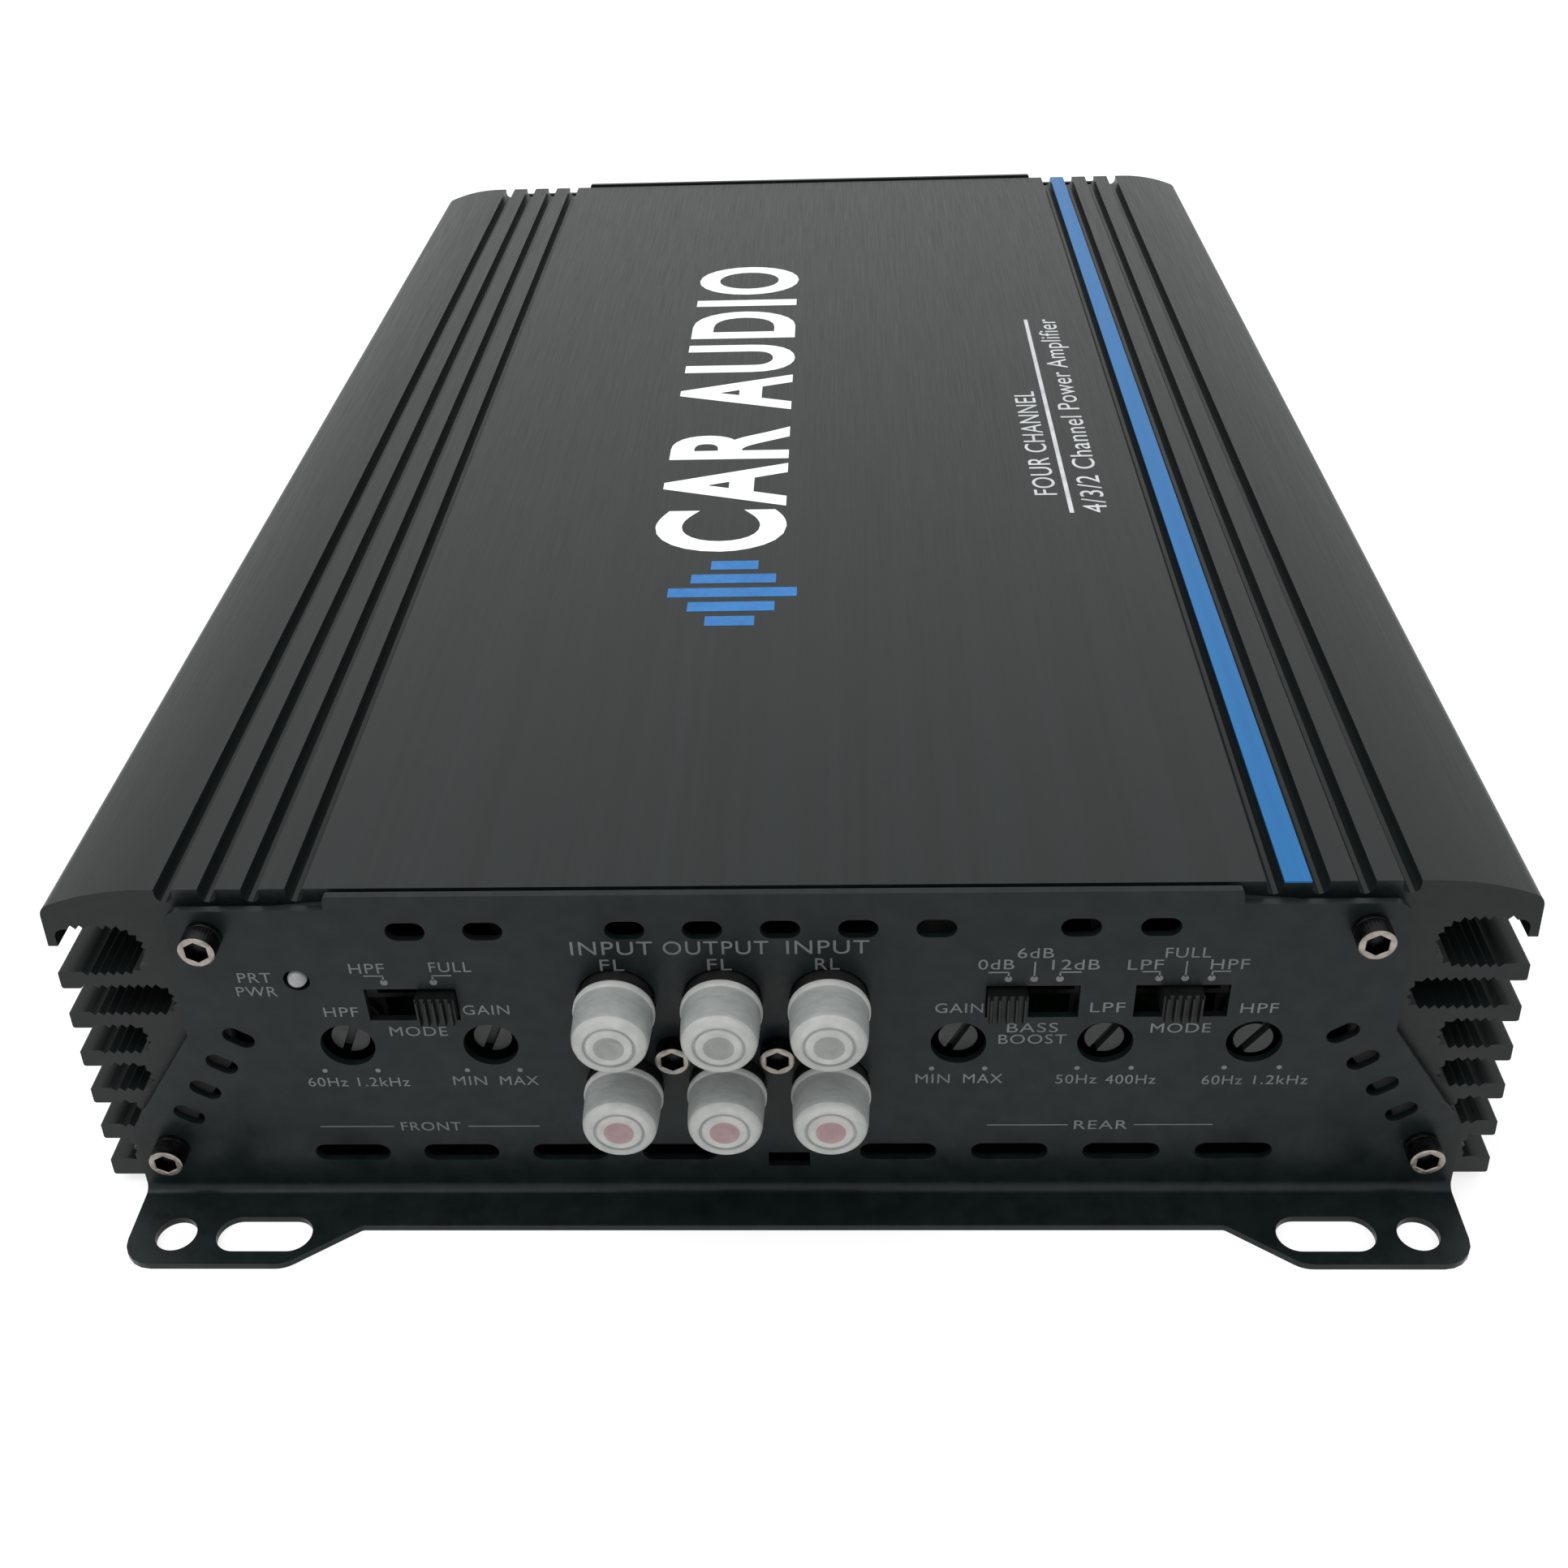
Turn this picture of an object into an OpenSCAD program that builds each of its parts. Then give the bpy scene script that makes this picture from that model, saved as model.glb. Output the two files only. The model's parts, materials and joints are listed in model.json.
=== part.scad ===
// Four-channel car audio amplifier: a finned aluminium housing closed by two folded end
// panels and a bottom cover. +Z is up, the controls face -Y and the power terminals face +Y.
// The origin is the centre of the footprint, on the mounting surface.

/* [Case] */
// Distance between the outer faces of the two end panels
case_len = 340.5; // [330:0.5:420]
// Width across the tips of the lowest fins
case_w = 227.2; // [227:0.2:280]
// Height of the heatsink's top face above the mounting surface
case_top = 63.1; // [62:0.1:80]
// Height of the heatsink's underside above the mounting surface
case_base = 1.8; // [1.6:0.1:3]
// Thickness of the metal over the inside of the case
roof_t = 4.8; // [4.4:0.1:6]

/* [Fins and grooves] */
// Thickness of a side fin
fin_t = 3.4; // [3:0.1:4]
// How far each fin stands out past the one above it
fin_step = 0.54; // [0:0.02:0.8]
// Smooth band left at a fin's tip
fin_band = 2; // [1.5:0.1:3]
// Pitch of the small ribs inside the side channels
rib_pitch = 1.35; // [1.2:0.05:2]
// Depth of the small ribs
rib_depth = 0.75; // [0.2:0.05:0.8]
// Width of a groove in the top face
groove_w = 2.6; // [2:0.1:3]
// Depth of a groove in the top face
groove_depth = 2.4; // [1.8:0.1:2.6]
// Distance from one groove to the next
groove_pitch = 6.5; // [6:0.1:7]
// Thickness of the coloured strip let into the top face
stripe_t = 0.3; // [0.2:0.1:0.6]

/* [End panels] */
// Thickness of the end panels' sheet
panel_t = 1.2; // [1:0.1:2]
// Thickness of the gasket between an end panel and the housing
gasket_t = 1.3; // [1:0.1:2]
// Inside radius of the fold between a panel and its foot
fold_r = 1.5; // [1:0.1:3]
// How far the mounting ears stand out from the panel's face
ear_reach = 15.7; // [14:0.1:20]
// Diameter of the round hole in each ear
ear_hole_d = 6.6; // [5:0.1:7]
// Length of the slotted hole in each ear
ear_slot_len = 15.6; // [12:0.1:16]
// Width of the slotted hole in each ear
ear_slot_w = 6.9; // [5:0.1:7]

/* [Controls] */
// Diameter of a level control's shaft
shaft_d = 6; // [5:0.1:6.4]
// Diameter of the panel hole around a level control
shaft_hole_d = 8.5; // [8:0.1:9]
// Height of the level controls
shaft_z = 33.8; // [33:0.1:36]
// Width of a slide switch's knob
knob_w = 6; // [5:0.1:6]
// Full travel of a slide switch's knob
switch_travel = 7.6; // [6:0.1:8]

/* [Input jacks] */
// Outer diameter of a jack's metal shell
jack_d = 8.3; // [8:0.1:8.8]
// Sideways distance between jacks
jack_pitch = 16.1; // [15:0.1:17]
// Height of the lower row of jacks
jack_low_z = 25.4; // [25:0.1:27]
// Distance between the two rows of jacks
jack_rows = 17.75; // [17:0.05:18]
// Largest diameter of a dust cap
cap_d = 12.4; // [12:0.1:13]

/* [Terminals] */
// Diameter of the main power wire openings
power_bore_d = 8.4; // [7:0.1:9]
// Diameter of the remote wire opening
remote_bore_d = 4.6; // [4:0.1:5]
// Diameter of a speaker wire opening
speaker_bore_d = 3.6; // [3:0.1:4]
// Distance between speaker wire openings
speaker_pitch = 8; // [7.6:0.1:8]

/* [Inside] */
// Height of the main circuit board's top face
board_top = 16.9; // [16.5:0.1:17.5]
// Thickness of the circuit boards
board_t = 1.6; // [1.2:0.1:2]
// Thickness of the bottom cover
cover_t = 1.5; // [1:0.1:1.5]

/* [Hidden] */
$fn = 48;

// named clearances
fit = 0.3;            // between pieces that move past each other
run_fit = 0.05;       // radial, a shaft or cap on what it runs on
screw_fit = 0.1;      // radial, a screw in its hole

half_w = case_w / 2;
front_y = -case_len / 2;              // outer face of the front panel
rear_y = case_len / 2;                // outer face of the rear panel
housing_front = front_y + panel_t + gasket_t;
housing_rear = rear_y - panel_t - gasket_t;

// side fins, numbered from the top
fin_count = 6;
first_fin_top = case_top - 15.95;
last_fin_top = case_base + 3.75;
fin_pitch = (first_fin_top - last_fin_top) / (fin_count - 1);
channel_depths = [14.4, 17, 11.5, 10.5, 7.5, 4.8];
lip_bottom = case_top - 10.75;
lip_t = 1.5;
channel_roof = case_top - 7.5;
root_r = 1.6;
tip_r = 0.4;

// top face
crown_x = half_w - 12.4;
crown_r = 40;
shoulder = [half_w - 3.6, case_top - 3.3];
groove_first_x = half_w - 42.4;
groove_count = 4;

// inside of the case
cavity_low_x = half_w - 18.1;
cavity_x = half_w - 27.6;
cavity_top = case_top - roof_t;
upper_screw = [half_w - 28.4, case_top - 6.7];
lower_screw = [half_w - 13, case_base + 9.4];
boss_r = 4.6;
screw_d = 3;
head_d = 5.5;
head_h = 3;
socket_af = 3.3;
washer_t = 1;
panel_screw_depth = 14;

// controls: sideways places on the front panel
control_x = [-67.7, -45.4, 26.6, 48.9, 71.4];
switch_x = [-56.3, 37.4, 59.6];
switch_rest = [switch_travel / 2, -switch_travel / 2, 0];
switch_z = shaft_z + 8.5;
slot_h = 6.4;
lamp_at = [-73.1, switch_z + 5.1];
lamp_d = 3;
lamp_hole_d = 4;
control_board_y = front_y + 14;
shaft_depth = [1.9, 1.9, 1.5, 1.2, 0.8];   // from the panel's face in to each shaft's end
control_body_y = front_y + 7.5;
minimum_angle = [22, 23, 27, 32, 35];      // tilt of each screwdriver slot at the minimum stop

// input jacks
jack_x = -9.1;
jack_high_z = jack_low_z + jack_rows;
jack_screw_z = jack_low_z + 7.4;
jack_block_half = 1.5 * jack_pitch + 1.4;
jack_block_top = jack_high_z + 8.9;
jack_block_depth = 12;
jack_back = panel_t + jack_block_depth;
flange_t = 0.8;
collar_d = 11.4;
collar_out = 2;
shell_tip = 9.2;
shell_wall = 0.6;
cap_len = 8.3;

// rear terminals
power_x = [-67, -49, -31];
power_bores = [power_bore_d, remote_bore_d, power_bore_d];
power_z = board_top + 11;
power_block = [-78, -20];
power_block_top = board_top + 25;
speaker_z = board_top + 8;
speaker_count = 8;
speaker_first_x = 19;
speaker_block = [speaker_first_x - 5, speaker_first_x + (speaker_count - 1) * speaker_pitch + 5];
speaker_block_top = board_top + 17;
terminal_front = rear_y - 20;
terminal_rear = rear_y + 10.8;
contact_rear = terminal_rear - 1.4;
contact_len = 14;
fuse_x = -3.5;
fuse_z = [board_top + 8.6, board_top + 20.6];
fuse_size = [19, 12.5, 5.2];
fuse_holder_half = 12.5;
fuse_holder_top = board_top + 29;
cut_fit = 0.4;                        // gap between a terminal block and its panel cut-out

// inside
board_half = cavity_x - 2;
board_front = housing_front + 0.8;
board_rear = housing_rear - 1;
standoff_x = board_half - 8;
standoff_y = [board_front + 30, -38, 38, board_rear - 30];
pad_t = 0.5;
transistor = [10.2, 15.6, 4.5];       // width, height, thickness
transistor_z = board_top + 15.6;
transistor_pitch = 24;
transistor_count = 8;
clamp_t = 3;
clamp_h = 8;

function corner(a, b, c, r, n) =
    let (u = (a - b) / norm(a - b), v = (c - b) / norm(c - b), half = acos(u * v) / 2,
         mid = b + (u + v) / norm(u + v) * r / sin(half),
         s = b + u * r / tan(half) - mid, e = b + v * r / tan(half) - mid,
         a0 = atan2(s[1], s[0]), turn = (atan2(e[1], e[0]) - a0 + 540) % 360 - 180)
    [for (i = [0:n]) mid + r * [cos(a0 + turn * i / n), sin(a0 + turn * i / n)]];

// an outline whose points [x, y, r] are rounded to their own radius
function rounded(pts, n = 5) =
    let (count = len(pts))
    [for (i = [0:count - 1])
        let (p = pts[i], before = pts[(i + count - 1) % count], after = pts[(i + 1) % count])
        each p[2] == 0 ? [[p[0], p[1]]]
            : corner([before[0], before[1]], [p[0], p[1]], [after[0], after[1]], p[2], n)];

function mirrored(pts) = [for (i = [len(pts) - 1:-1:0]) [-pts[i][0], pts[i][1]]];

// closes a right half with its mirror image; points on the centre line are only guides
function both_halves(pts) = let (half = [for (p = pts) if (p[0] > 0) p]) concat(half, mirrored(half));

// a point [x, z, normal x, normal z] at distance s along a side channel's wall
function channel_point(s, mouth, root, top, bottom, r) =
    let (straight = mouth - root - r, quarter = PI * r / 2, flat = top - bottom - 2 * r,
         a1 = (s - straight) / r * 180 / PI,
         a2 = (s - straight - quarter - flat) / r * 180 / PI)
    s < straight ? [mouth - s, top, 0, 1]
    : s < straight + quarter ? [root + r - r * sin(a1), top - r + r * cos(a1), -sin(a1), cos(a1)]
    : s < straight + quarter + flat ? [root, top - r - (s - straight - quarter), -1, 0]
    : s < straight + 2 * quarter + flat
        ? [root + r - r * cos(a2), bottom + r - r * sin(a2), -cos(a2), -sin(a2)]
    : [root + r + s - straight - 2 * quarter - flat, bottom, 0, -1];

// a side channel's ribbed wall, from its roof at the mouth round to its floor at the mouth
function channel_wall(mouth, root, top, bottom, r) =
    let (total = 2 * (mouth - root - r) + PI * r + top - bottom - 2 * r,
         steps = 2 * floor(total / rib_pitch))
    [for (i = [0:steps])
        let (p = channel_point(total * i / steps, mouth, root, top, bottom, r), d = (i % 2) * rib_depth)
        [p[0] + d * p[2], p[1] + d * p[3]]];

function fin_tip(i) = half_w - fin_step * (fin_count - 1 - i);
function fin_top(i) = first_fin_top - fin_pitch * i;
function fin_bottom(i) = i == fin_count - 1 ? case_base : fin_top(i) - fin_t;

function groove_wall(x) =
    let (r = groove_w / 2, low = case_top - groove_depth + r)
    concat([[x - r, case_top]], [for (a = [180:30:360]) [x + r * cos(a), low + r * sin(a)]],
           [[x + r, case_top]]);

function fin_end(i) =
    let (x = fin_tip(i), slope = fin_step * 0.4)
    rounded([[x - 3, fin_top(i), 0], [x - slope, fin_top(i), tip_r], [x, fin_bottom(i), tip_r],
             [x - 3, fin_bottom(i), 0]], 3);

// right half of the inside's outline, from its open bottom up to its ceiling
function cavity_wall(bottom) = [
    [cavity_low_x, bottom], [cavity_low_x, case_base + 15.2], [cavity_x, shaft_z - 2.8],
    [cavity_x, upper_screw[1] - 7], [upper_screw[0] - boss_r, upper_screw[1] - 5],
    [upper_screw[0] - boss_r, cavity_top - 1.2], [groove_first_x - 6, cavity_top - 1.2],
    [groove_first_x - 7.5, cavity_top]];

// right half of the housing's cross-section, from the top face round to the inside's ceiling
function half_section() = concat(
    [for (i = [0:groove_count - 1]) each groove_wall(groove_first_x + i * groove_pitch)],
    corner([groove_first_x, case_top], [crown_x, case_top], shoulder, crown_r, 8),
    corner([crown_x, case_top], shoulder, [fin_tip(0), lip_bottom], 2.4, 6),
    [[fin_tip(0) - 0.3, lip_bottom], [fin_tip(0) - 0.3 - lip_t, lip_bottom]],
    corner([fin_tip(0) - 0.3 - lip_t, lip_bottom], [fin_tip(0) - 0.3 - lip_t, channel_roof],
           [half_w - 12, channel_roof], 1.6, 4),
    channel_wall(fin_tip(0) - 4, fin_tip(0) - channel_depths[0], channel_roof, fin_top(0),
                 (channel_roof - fin_top(0)) / 2 - 0.2),
    [for (i = [0:fin_count - 1])
        each concat(fin_end(i), i == fin_count - 1 ? []
            : channel_wall(fin_tip(i) - fin_band - 1, fin_tip(i + 1) - channel_depths[i + 1],
                           fin_bottom(i), fin_top(i + 1), root_r))],
    cavity_wall(case_base));

// stands a flat (x, z) outline up and runs it from y0 to y1
module along_y(y0, y1) translate([0, y1, 0]) rotate([90, 0, 0]) linear_extrude(y1 - y0) children();

// runs a (y, z) outline from x0 to x1
module along_x(x0, x1) translate([x0, 0, 0]) rotate([90, 0, 90]) linear_extrude(x1 - x0) children();

module rod_y(d, y0, y1, x, z) translate([x, y1, z]) rotate([90, 0, 0]) cylinder(d = d, h = y1 - y0);

module box(x, y, z) translate([x[0], y[0], z[0]]) cube([x[1] - x[0], y[1] - y[0], z[1] - z[0]]);

module slot(w, h) {
    square([w - h, h], center = true);
    for (side = [-1, 1]) translate([side * (w - h) / 2, 0]) circle(d = h);
}

// socket-head screw pointing along +Z, with the head's underside at z = 0
module socket_screw(length) difference() {
    union() {
        translate([0, 0, -head_h]) cylinder(d = head_d, h = head_h);
        cylinder(d = screw_d, h = length);
    }
    translate([0, 0, -head_h - 1]) cylinder(d = socket_af / cos(30), h = 2.6, $fn = 6);
}

module at_panel_screws() for (side = [-1, 1], at = [upper_screw, lower_screw])
    translate([side * at[0], 0, at[1]]) children();

// moves what is drawn at the front panel's outer face to the panel itself, or mirrors it to the rear
module at_front() translate([0, front_y, 0]) children();
module at_rear() mirror([0, 1, 0]) translate([0, front_y, 0]) children();

module heatsink_housing() color("#4a4e4e") difference() {
    along_y(housing_front, housing_rear) polygon(both_halves(half_section()));
    translate([groove_first_x + groove_w / 2 - 0.1, housing_front - 1, case_top - stripe_t])
        cube([groove_pitch - groove_w + 0.2, case_len, 5]);
    for (end = [-1, 1], side = [-1, 1], at = [upper_screw, lower_screw])
        translate([side * at[0], end * (housing_rear + 1), at[1]]) rotate([end * 90, 0, 0])
            cylinder(d = screw_d + 2 * screw_fit, h = panel_screw_depth + 1);
    for (side = [-1, 1], y = cover_screw_y) translate([side * cover_screw_x, y, case_base - 1])
        cylinder(d = screw_d + 2 * screw_fit, h = 9);
    for (side = [-1, 1], y = clamp_screw_y) translate([side * (cavity_x - 1), y, clamp_z])
        rotate([0, side * 90, 0]) cylinder(d = screw_d + 2 * screw_fit, h = 6.4);
}

cover_screw_x = half_w - 14;
cover_screw_y = [-0.4 * case_len, -0.14 * case_len, 0.14 * case_len, 0.4 * case_len];
clamp_z = transistor_z + 9;
clamp_screw_y = [for (i = [-1:1]) i * 3 * transistor_pitch];

module accent_stripe() color("#3f83c4")
    translate([groove_first_x + groove_w / 2, housing_front, case_top - stripe_t])
        cube([groove_pitch - groove_w, housing_rear - housing_front, stripe_t]);

panel_top = case_top + 0.4;
step_x = half_w - 47.3;
notch = [half_w - 21.2, shaft_z + 2.2];
bulge = [half_w - 7.2, case_base + 13.1];
foot_half = half_w - 6.6;
top_vent_x = [-55.2, -43.7, -22.8, -11.4, 0, 11.4, 22.8, 43.7, 55.2];
ear_inner = half_w - 33.3;
ear_root = half_w - 44.2;
foot_mid = 8;
ear_hole = [half_w - 14.2, -9.7];
ear_slot_x = half_w - 28.65;

module panel_outline() polygon(both_halves(rounded([
        [step_x, panel_top, 0.6], [step_x + 0.3, panel_top - 2.5, 0.3],
        [half_w - 23.1, panel_top - 2.5, 2.6], [notch[0], notch[1], 0.3], [bulge[0], bulge[1], 0.6],
        [foot_half, panel_t + fold_r, 0], [0, panel_t + fold_r, 0], [0, panel_top, 0]])));

module foot_outline() polygon(both_halves(rounded([
        [foot_half, -fold_r, 0], [foot_half, -ear_reach, 5], [ear_inner, -ear_reach, 5],
        [ear_root, -foot_mid, 1.5], [0, -foot_mid, 0], [0, -fold_r, 0]])));

// one folded end panel, drawn with its outer face at y = 0; the children are its cut-outs
module folded_panel() color("#2e3232") {
    along_y(0, panel_t) difference() {
        panel_outline();
        for (side = [-1, 1], at = [upper_screw, lower_screw]) translate([side * at[0], at[1]])
            circle(d = screw_d + 2 * screw_fit);
        for (x = top_vent_x) translate([x, panel_top - 6.7]) slot(5.9, 3.4);
        for (side = [-1, 1], i = [0:3])
            translate([side * (half_w - 29.1 + 3.9 * i), shaft_z + 1.7 - 5.65 * i])
                rotate(side * 34.5) slot(5.2, 3);
        children();
    }
    along_x(-foot_half, foot_half) translate([-fold_r, panel_t + fold_r]) intersection() {
        difference() {
            circle(r = fold_r + panel_t);
            circle(r = fold_r);
        }
        translate([0, -20]) square(20);
    }
    linear_extrude(panel_t) difference() {
        foot_outline();
        for (side = [-1, 1]) {
            translate([side * ear_hole[0], ear_hole[1]]) circle(d = ear_hole_d);
            translate([side * ear_slot_x, ear_hole[1]]) slot(ear_slot_len, ear_slot_w);
        }
    }
}

module front_panel() at_front() folded_panel() {
    for (side = [-1, 1], i = [0:3]) translate([side * (17.6 + 17.85 * i), case_base + 7.9])
        slot(12.3, 3.7);
    translate([0, case_base + 6.1]) square([6.7, 3.2], center = true);
    for (x = control_x) translate([x, shaft_z]) circle(d = shaft_hole_d);
    for (x = switch_x) translate([x, switch_z])
        square([switch_travel + knob_w + 0.4, slot_h], center = true);
    translate(lamp_at) circle(d = lamp_hole_d);
    for (i = [-1:1], z = [jack_low_z, jack_high_z]) translate([jack_x + i * jack_pitch, z])
        circle(d = collar_d + 2 * cut_fit);
    for (side = [-1, 1]) translate([jack_x + side * jack_pitch / 2, jack_screw_z])
        circle(d = screw_d + 2 * screw_fit);
}

module cut_out(x, top) translate([x[0] - cut_fit, board_top - cut_fit])
    square([x[1] - x[0] + 2 * cut_fit, top - board_top + 2 * cut_fit]);

module rear_panel() at_rear() folded_panel() {
    for (side = [-1, 1], i = [0:3]) translate([side * (17.6 + 17.85 * i), case_base + 7.9])
        slot(12.3, 3.7);
    cut_out(power_block, power_block_top);
    cut_out(speaker_block, speaker_block_top);
    cut_out([fuse_x - fuse_holder_half, fuse_x + fuse_holder_half], fuse_holder_top);
}

// a flat gasket set back from the panel's edge, so that a thin gap shows around the panel
module panel_gasket() along_y(panel_t, panel_t + gasket_t) difference() {
    polygon(both_halves(concat([
        [step_x - 1, case_top - 2.2], [half_w - 25.5, case_top - 4.4], [notch[0] - 2.4, notch[1]],
        [bulge[0] - 2.9, bulge[1]], [bulge[0] - 2.4, case_base + 2]], cavity_wall(case_base + 2))));
    for (side = [-1, 1], at = [upper_screw, lower_screw]) translate([side * at[0], at[1]])
        circle(d = screw_d + 2 * screw_fit);
}
module panel_gaskets() color("#0c0d0d") {
    at_front() panel_gasket();
    at_rear() panel_gasket();
}

module bottom_cover() color("#3a3d3d") difference() {
    box([-(half_w - 9.5), half_w - 9.5], [housing_front + fold_r + fit, housing_rear - fold_r - fit],
        [case_base - cover_t, case_base]);
    for (side = [-1, 1], y = cover_screw_y) translate([side * cover_screw_x, y, case_base - cover_t])
        cylinder(d1 = 5.8, d2 = screw_d + 2 * screw_fit, h = cover_t);
    for (side = [-1, 1], i = [-4:4]) translate([side * 40, i * 12, case_base - cover_t - 1])
        linear_extrude(cover_t + 2) slot(30, 4);
}

module bottom_cover_screws() color("#202222") for (side = [-1, 1], y = cover_screw_y)
    translate([side * cover_screw_x, y, case_base - cover_t]) difference() {
        union() {
            cylinder(d1 = 5.6, d2 = screw_d, h = cover_t);
            cylinder(d = screw_d, h = cover_t + 6);
        }
        for (turn = [0, 90]) rotate(turn) translate([-1.5, -0.3, -1]) cube([3, 0.6, 1.8]);
    }

module panel_screws() at_panel_screws() translate([0, -washer_t, 0]) rotate([-90, 0, 0])
    socket_screw(washer_t + panel_t + gasket_t + 10);
module washers() at_panel_screws() rotate([90, 0, 0]) difference() {
    cylinder(d = head_d, h = washer_t);
    translate([0, 0, -1]) cylinder(d = screw_d + 2 * screw_fit, h = washer_t + 2);
}
module front_panel_screws() color("#b9b4ad") at_front() panel_screws();
module rear_panel_screws() color("#b9b4ad") at_rear() panel_screws();
module screw_washers() color("#1b1d1d") {
    at_front() washers();
    at_rear() washers();
}

module at_jacks(rows) at_front() for (i = [-1:1], z = rows)
    translate([jack_x + i * jack_pitch, 0, z]) rotate([-90, 0, 0]) children();

module jack_block() color("#18191a") difference() {
    union() {
        box([jack_x - jack_block_half, jack_x + jack_block_half],
            [front_y + panel_t, front_y + jack_back], [board_top, jack_block_top]);
        at_jacks([jack_low_z, jack_high_z]) translate([0, 0, -collar_out])
            cylinder(d = collar_d, h = collar_out + panel_t + 1);
    }
    at_jacks([jack_low_z, jack_high_z]) translate([0, 0, -20])
        cylinder(d = jack_d + 2 * run_fit, h = 60);
    at_front() for (side = [-1, 1]) translate([jack_x + side * jack_pitch / 2, 0, jack_screw_z])
        rotate([-90, 0, 0]) cylinder(d = screw_d + 2 * screw_fit, h = panel_t + 10);
}

module jack_shells() color("#c9c4b8") at_jacks([jack_low_z, jack_high_z]) difference() {
    union() {
        translate([0, 0, -shell_tip]) cylinder(d = jack_d, h = shell_tip + jack_back);
        translate([0, 0, jack_back]) cylinder(d = jack_d + 1.6, h = flange_t);
    }
    translate([0, 0, -20]) cylinder(d = jack_d - 2 * shell_wall, h = 60);
}

module jack_insulators() difference() {
    union() {
        translate([0, 0, 1 - shell_tip])
            cylinder(d = jack_d - 2 * shell_wall - 2 * run_fit, h = shell_tip - 1 + jack_back + flange_t);
        translate([0, 0, jack_back + flange_t]) cylinder(d = jack_d + 0.8, h = flange_t);
    }
    translate([0, 0, -20]) cylinder(d = 3.2, h = 60);
}
module jack_insulators_upper() color("#e8e6e0") at_jacks([jack_high_z]) jack_insulators();
module jack_insulators_lower() color("#b3262a") at_jacks([jack_low_z]) jack_insulators();

module jack_contacts() color("#c9a552") at_jacks([jack_low_z, jack_high_z]) difference() {
    union() {
        translate([0, 0, -1]) cylinder(d = 3.1, h = jack_back + 2 * flange_t + 1);
        translate([0, 0, jack_back + 2 * flange_t]) cylinder(d = 5, h = 0.6);
    }
    translate([0, 0, -2]) cylinder(d = 2.4, h = jack_back);
}

module jack_block_screws() color("#b9b4ad") at_front() for (side = [-1, 1])
    translate([jack_x + side * jack_pitch / 2, 0, jack_screw_z]) rotate([-90, 0, 0])
        socket_screw(panel_t + 8);

// dust cap for one jack, drawn along +Z from its closed end
module dust_cap(column, row) color("#c8c2bc") at_front()
    translate([jack_x + column * jack_pitch, -collar_out - fit, row]) rotate([90, 0, 0])
    rotate_extrude() polygon([
        [jack_d / 2 + run_fit, 0], [cap_d / 2, 0], [cap_d / 2, 1.2], [cap_d / 2 - 0.25, 1.4],
        [cap_d / 2 - 0.4, cap_len - 0.6], [cap_d / 2 - 0.9, cap_len], [cap_d / 2 - 1.9, cap_len],
        [cap_d / 2 - 2.1, cap_len - 0.3], [cap_d / 2 - 2.5, cap_len - 0.3], [cap_d / 2 - 2.7, cap_len],
        [0, cap_len], [0, cap_len - 1], [jack_d / 2 + run_fit, cap_len - 1]]);
module dust_cap_1() dust_cap(-1, jack_high_z);
module dust_cap_2() dust_cap(0, jack_high_z);
module dust_cap_3() dust_cap(1, jack_high_z);
module dust_cap_4() dust_cap(-1, jack_low_z);
module dust_cap_5() dust_cap(0, jack_low_z);
module dust_cap_6() dust_cap(1, jack_low_z);

switch_front = front_y + 6;
switch_half_w = (switch_travel + knob_w) / 2 + 3.2;
switch_half_h = 3.9;
foot_t = 1;

module switch_body(i) color("#8d8f8f") translate([switch_x[i], 0, switch_z]) difference() {
    box([-switch_half_w, switch_half_w], [switch_front, control_board_y],
        [-switch_half_h, switch_half_h]);
    box([-switch_half_w + 0.8, switch_half_w - 0.8], [switch_front + 0.8, switch_front + 5],
        [-switch_half_h + 0.5, switch_half_h - 0.5]);
    box([-(switch_travel + knob_w) / 2 - fit, (switch_travel + knob_w) / 2 + fit],
        [switch_front - 1, switch_front + 2], [-slot_h / 2 + 0.2, slot_h / 2 - 0.2]);
}
module switch_body_1() switch_body(0);
module switch_body_2() switch_body(1);
module switch_body_3() switch_body(2);

knob_out = 2.5;
knob_h = slot_h - 1.6;
knob_ribs = 5;

module switch_knob(i) color("#141515")
    translate([switch_x[i] + switch_rest[i], 0, switch_z]) {
        box([-knob_w / 2, knob_w / 2], [front_y - knob_out + 0.6, switch_front + 2],
            [-knob_h / 2, knob_h / 2]);
        for (rib = [0:knob_ribs - 1]) translate([(rib - (knob_ribs - 1) / 2) * knob_w * 0.21, 0, 0])
            box([-0.25, 0.25], [front_y - knob_out, front_y - knob_out + 1], [-knob_h / 2, knob_h / 2]);
        box([-knob_w / 2 - 0.5, knob_w / 2 + 0.5], [switch_front + 1.1, switch_front + 1.1 + foot_t],
            [-switch_half_h + 0.8, switch_half_h - 0.8]);
    }
module switch_knob_1() switch_knob(0);
module switch_knob_2() switch_knob(1);
module switch_knob_3() switch_knob(2);

module level_control(i) color("#2b3440") translate([control_x[i], 0, shaft_z]) difference() {
    union() {
        box([-4.8, 4.8], [control_body_y, control_board_y], [-6.4, 4.4]);
        rod_y(shaft_d + 1.8, control_body_y - 1.5, control_body_y + 1, 0, 0);
    }
    rod_y(shaft_d + 2 * run_fit, control_body_y - 5, control_board_y - 1.2, 0, 0);
}
module level_control_1() level_control(0);
module level_control_2() level_control(1);
module level_control_3() level_control(2);
module level_control_4() level_control(3);
module level_control_5() level_control(4);

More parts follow.
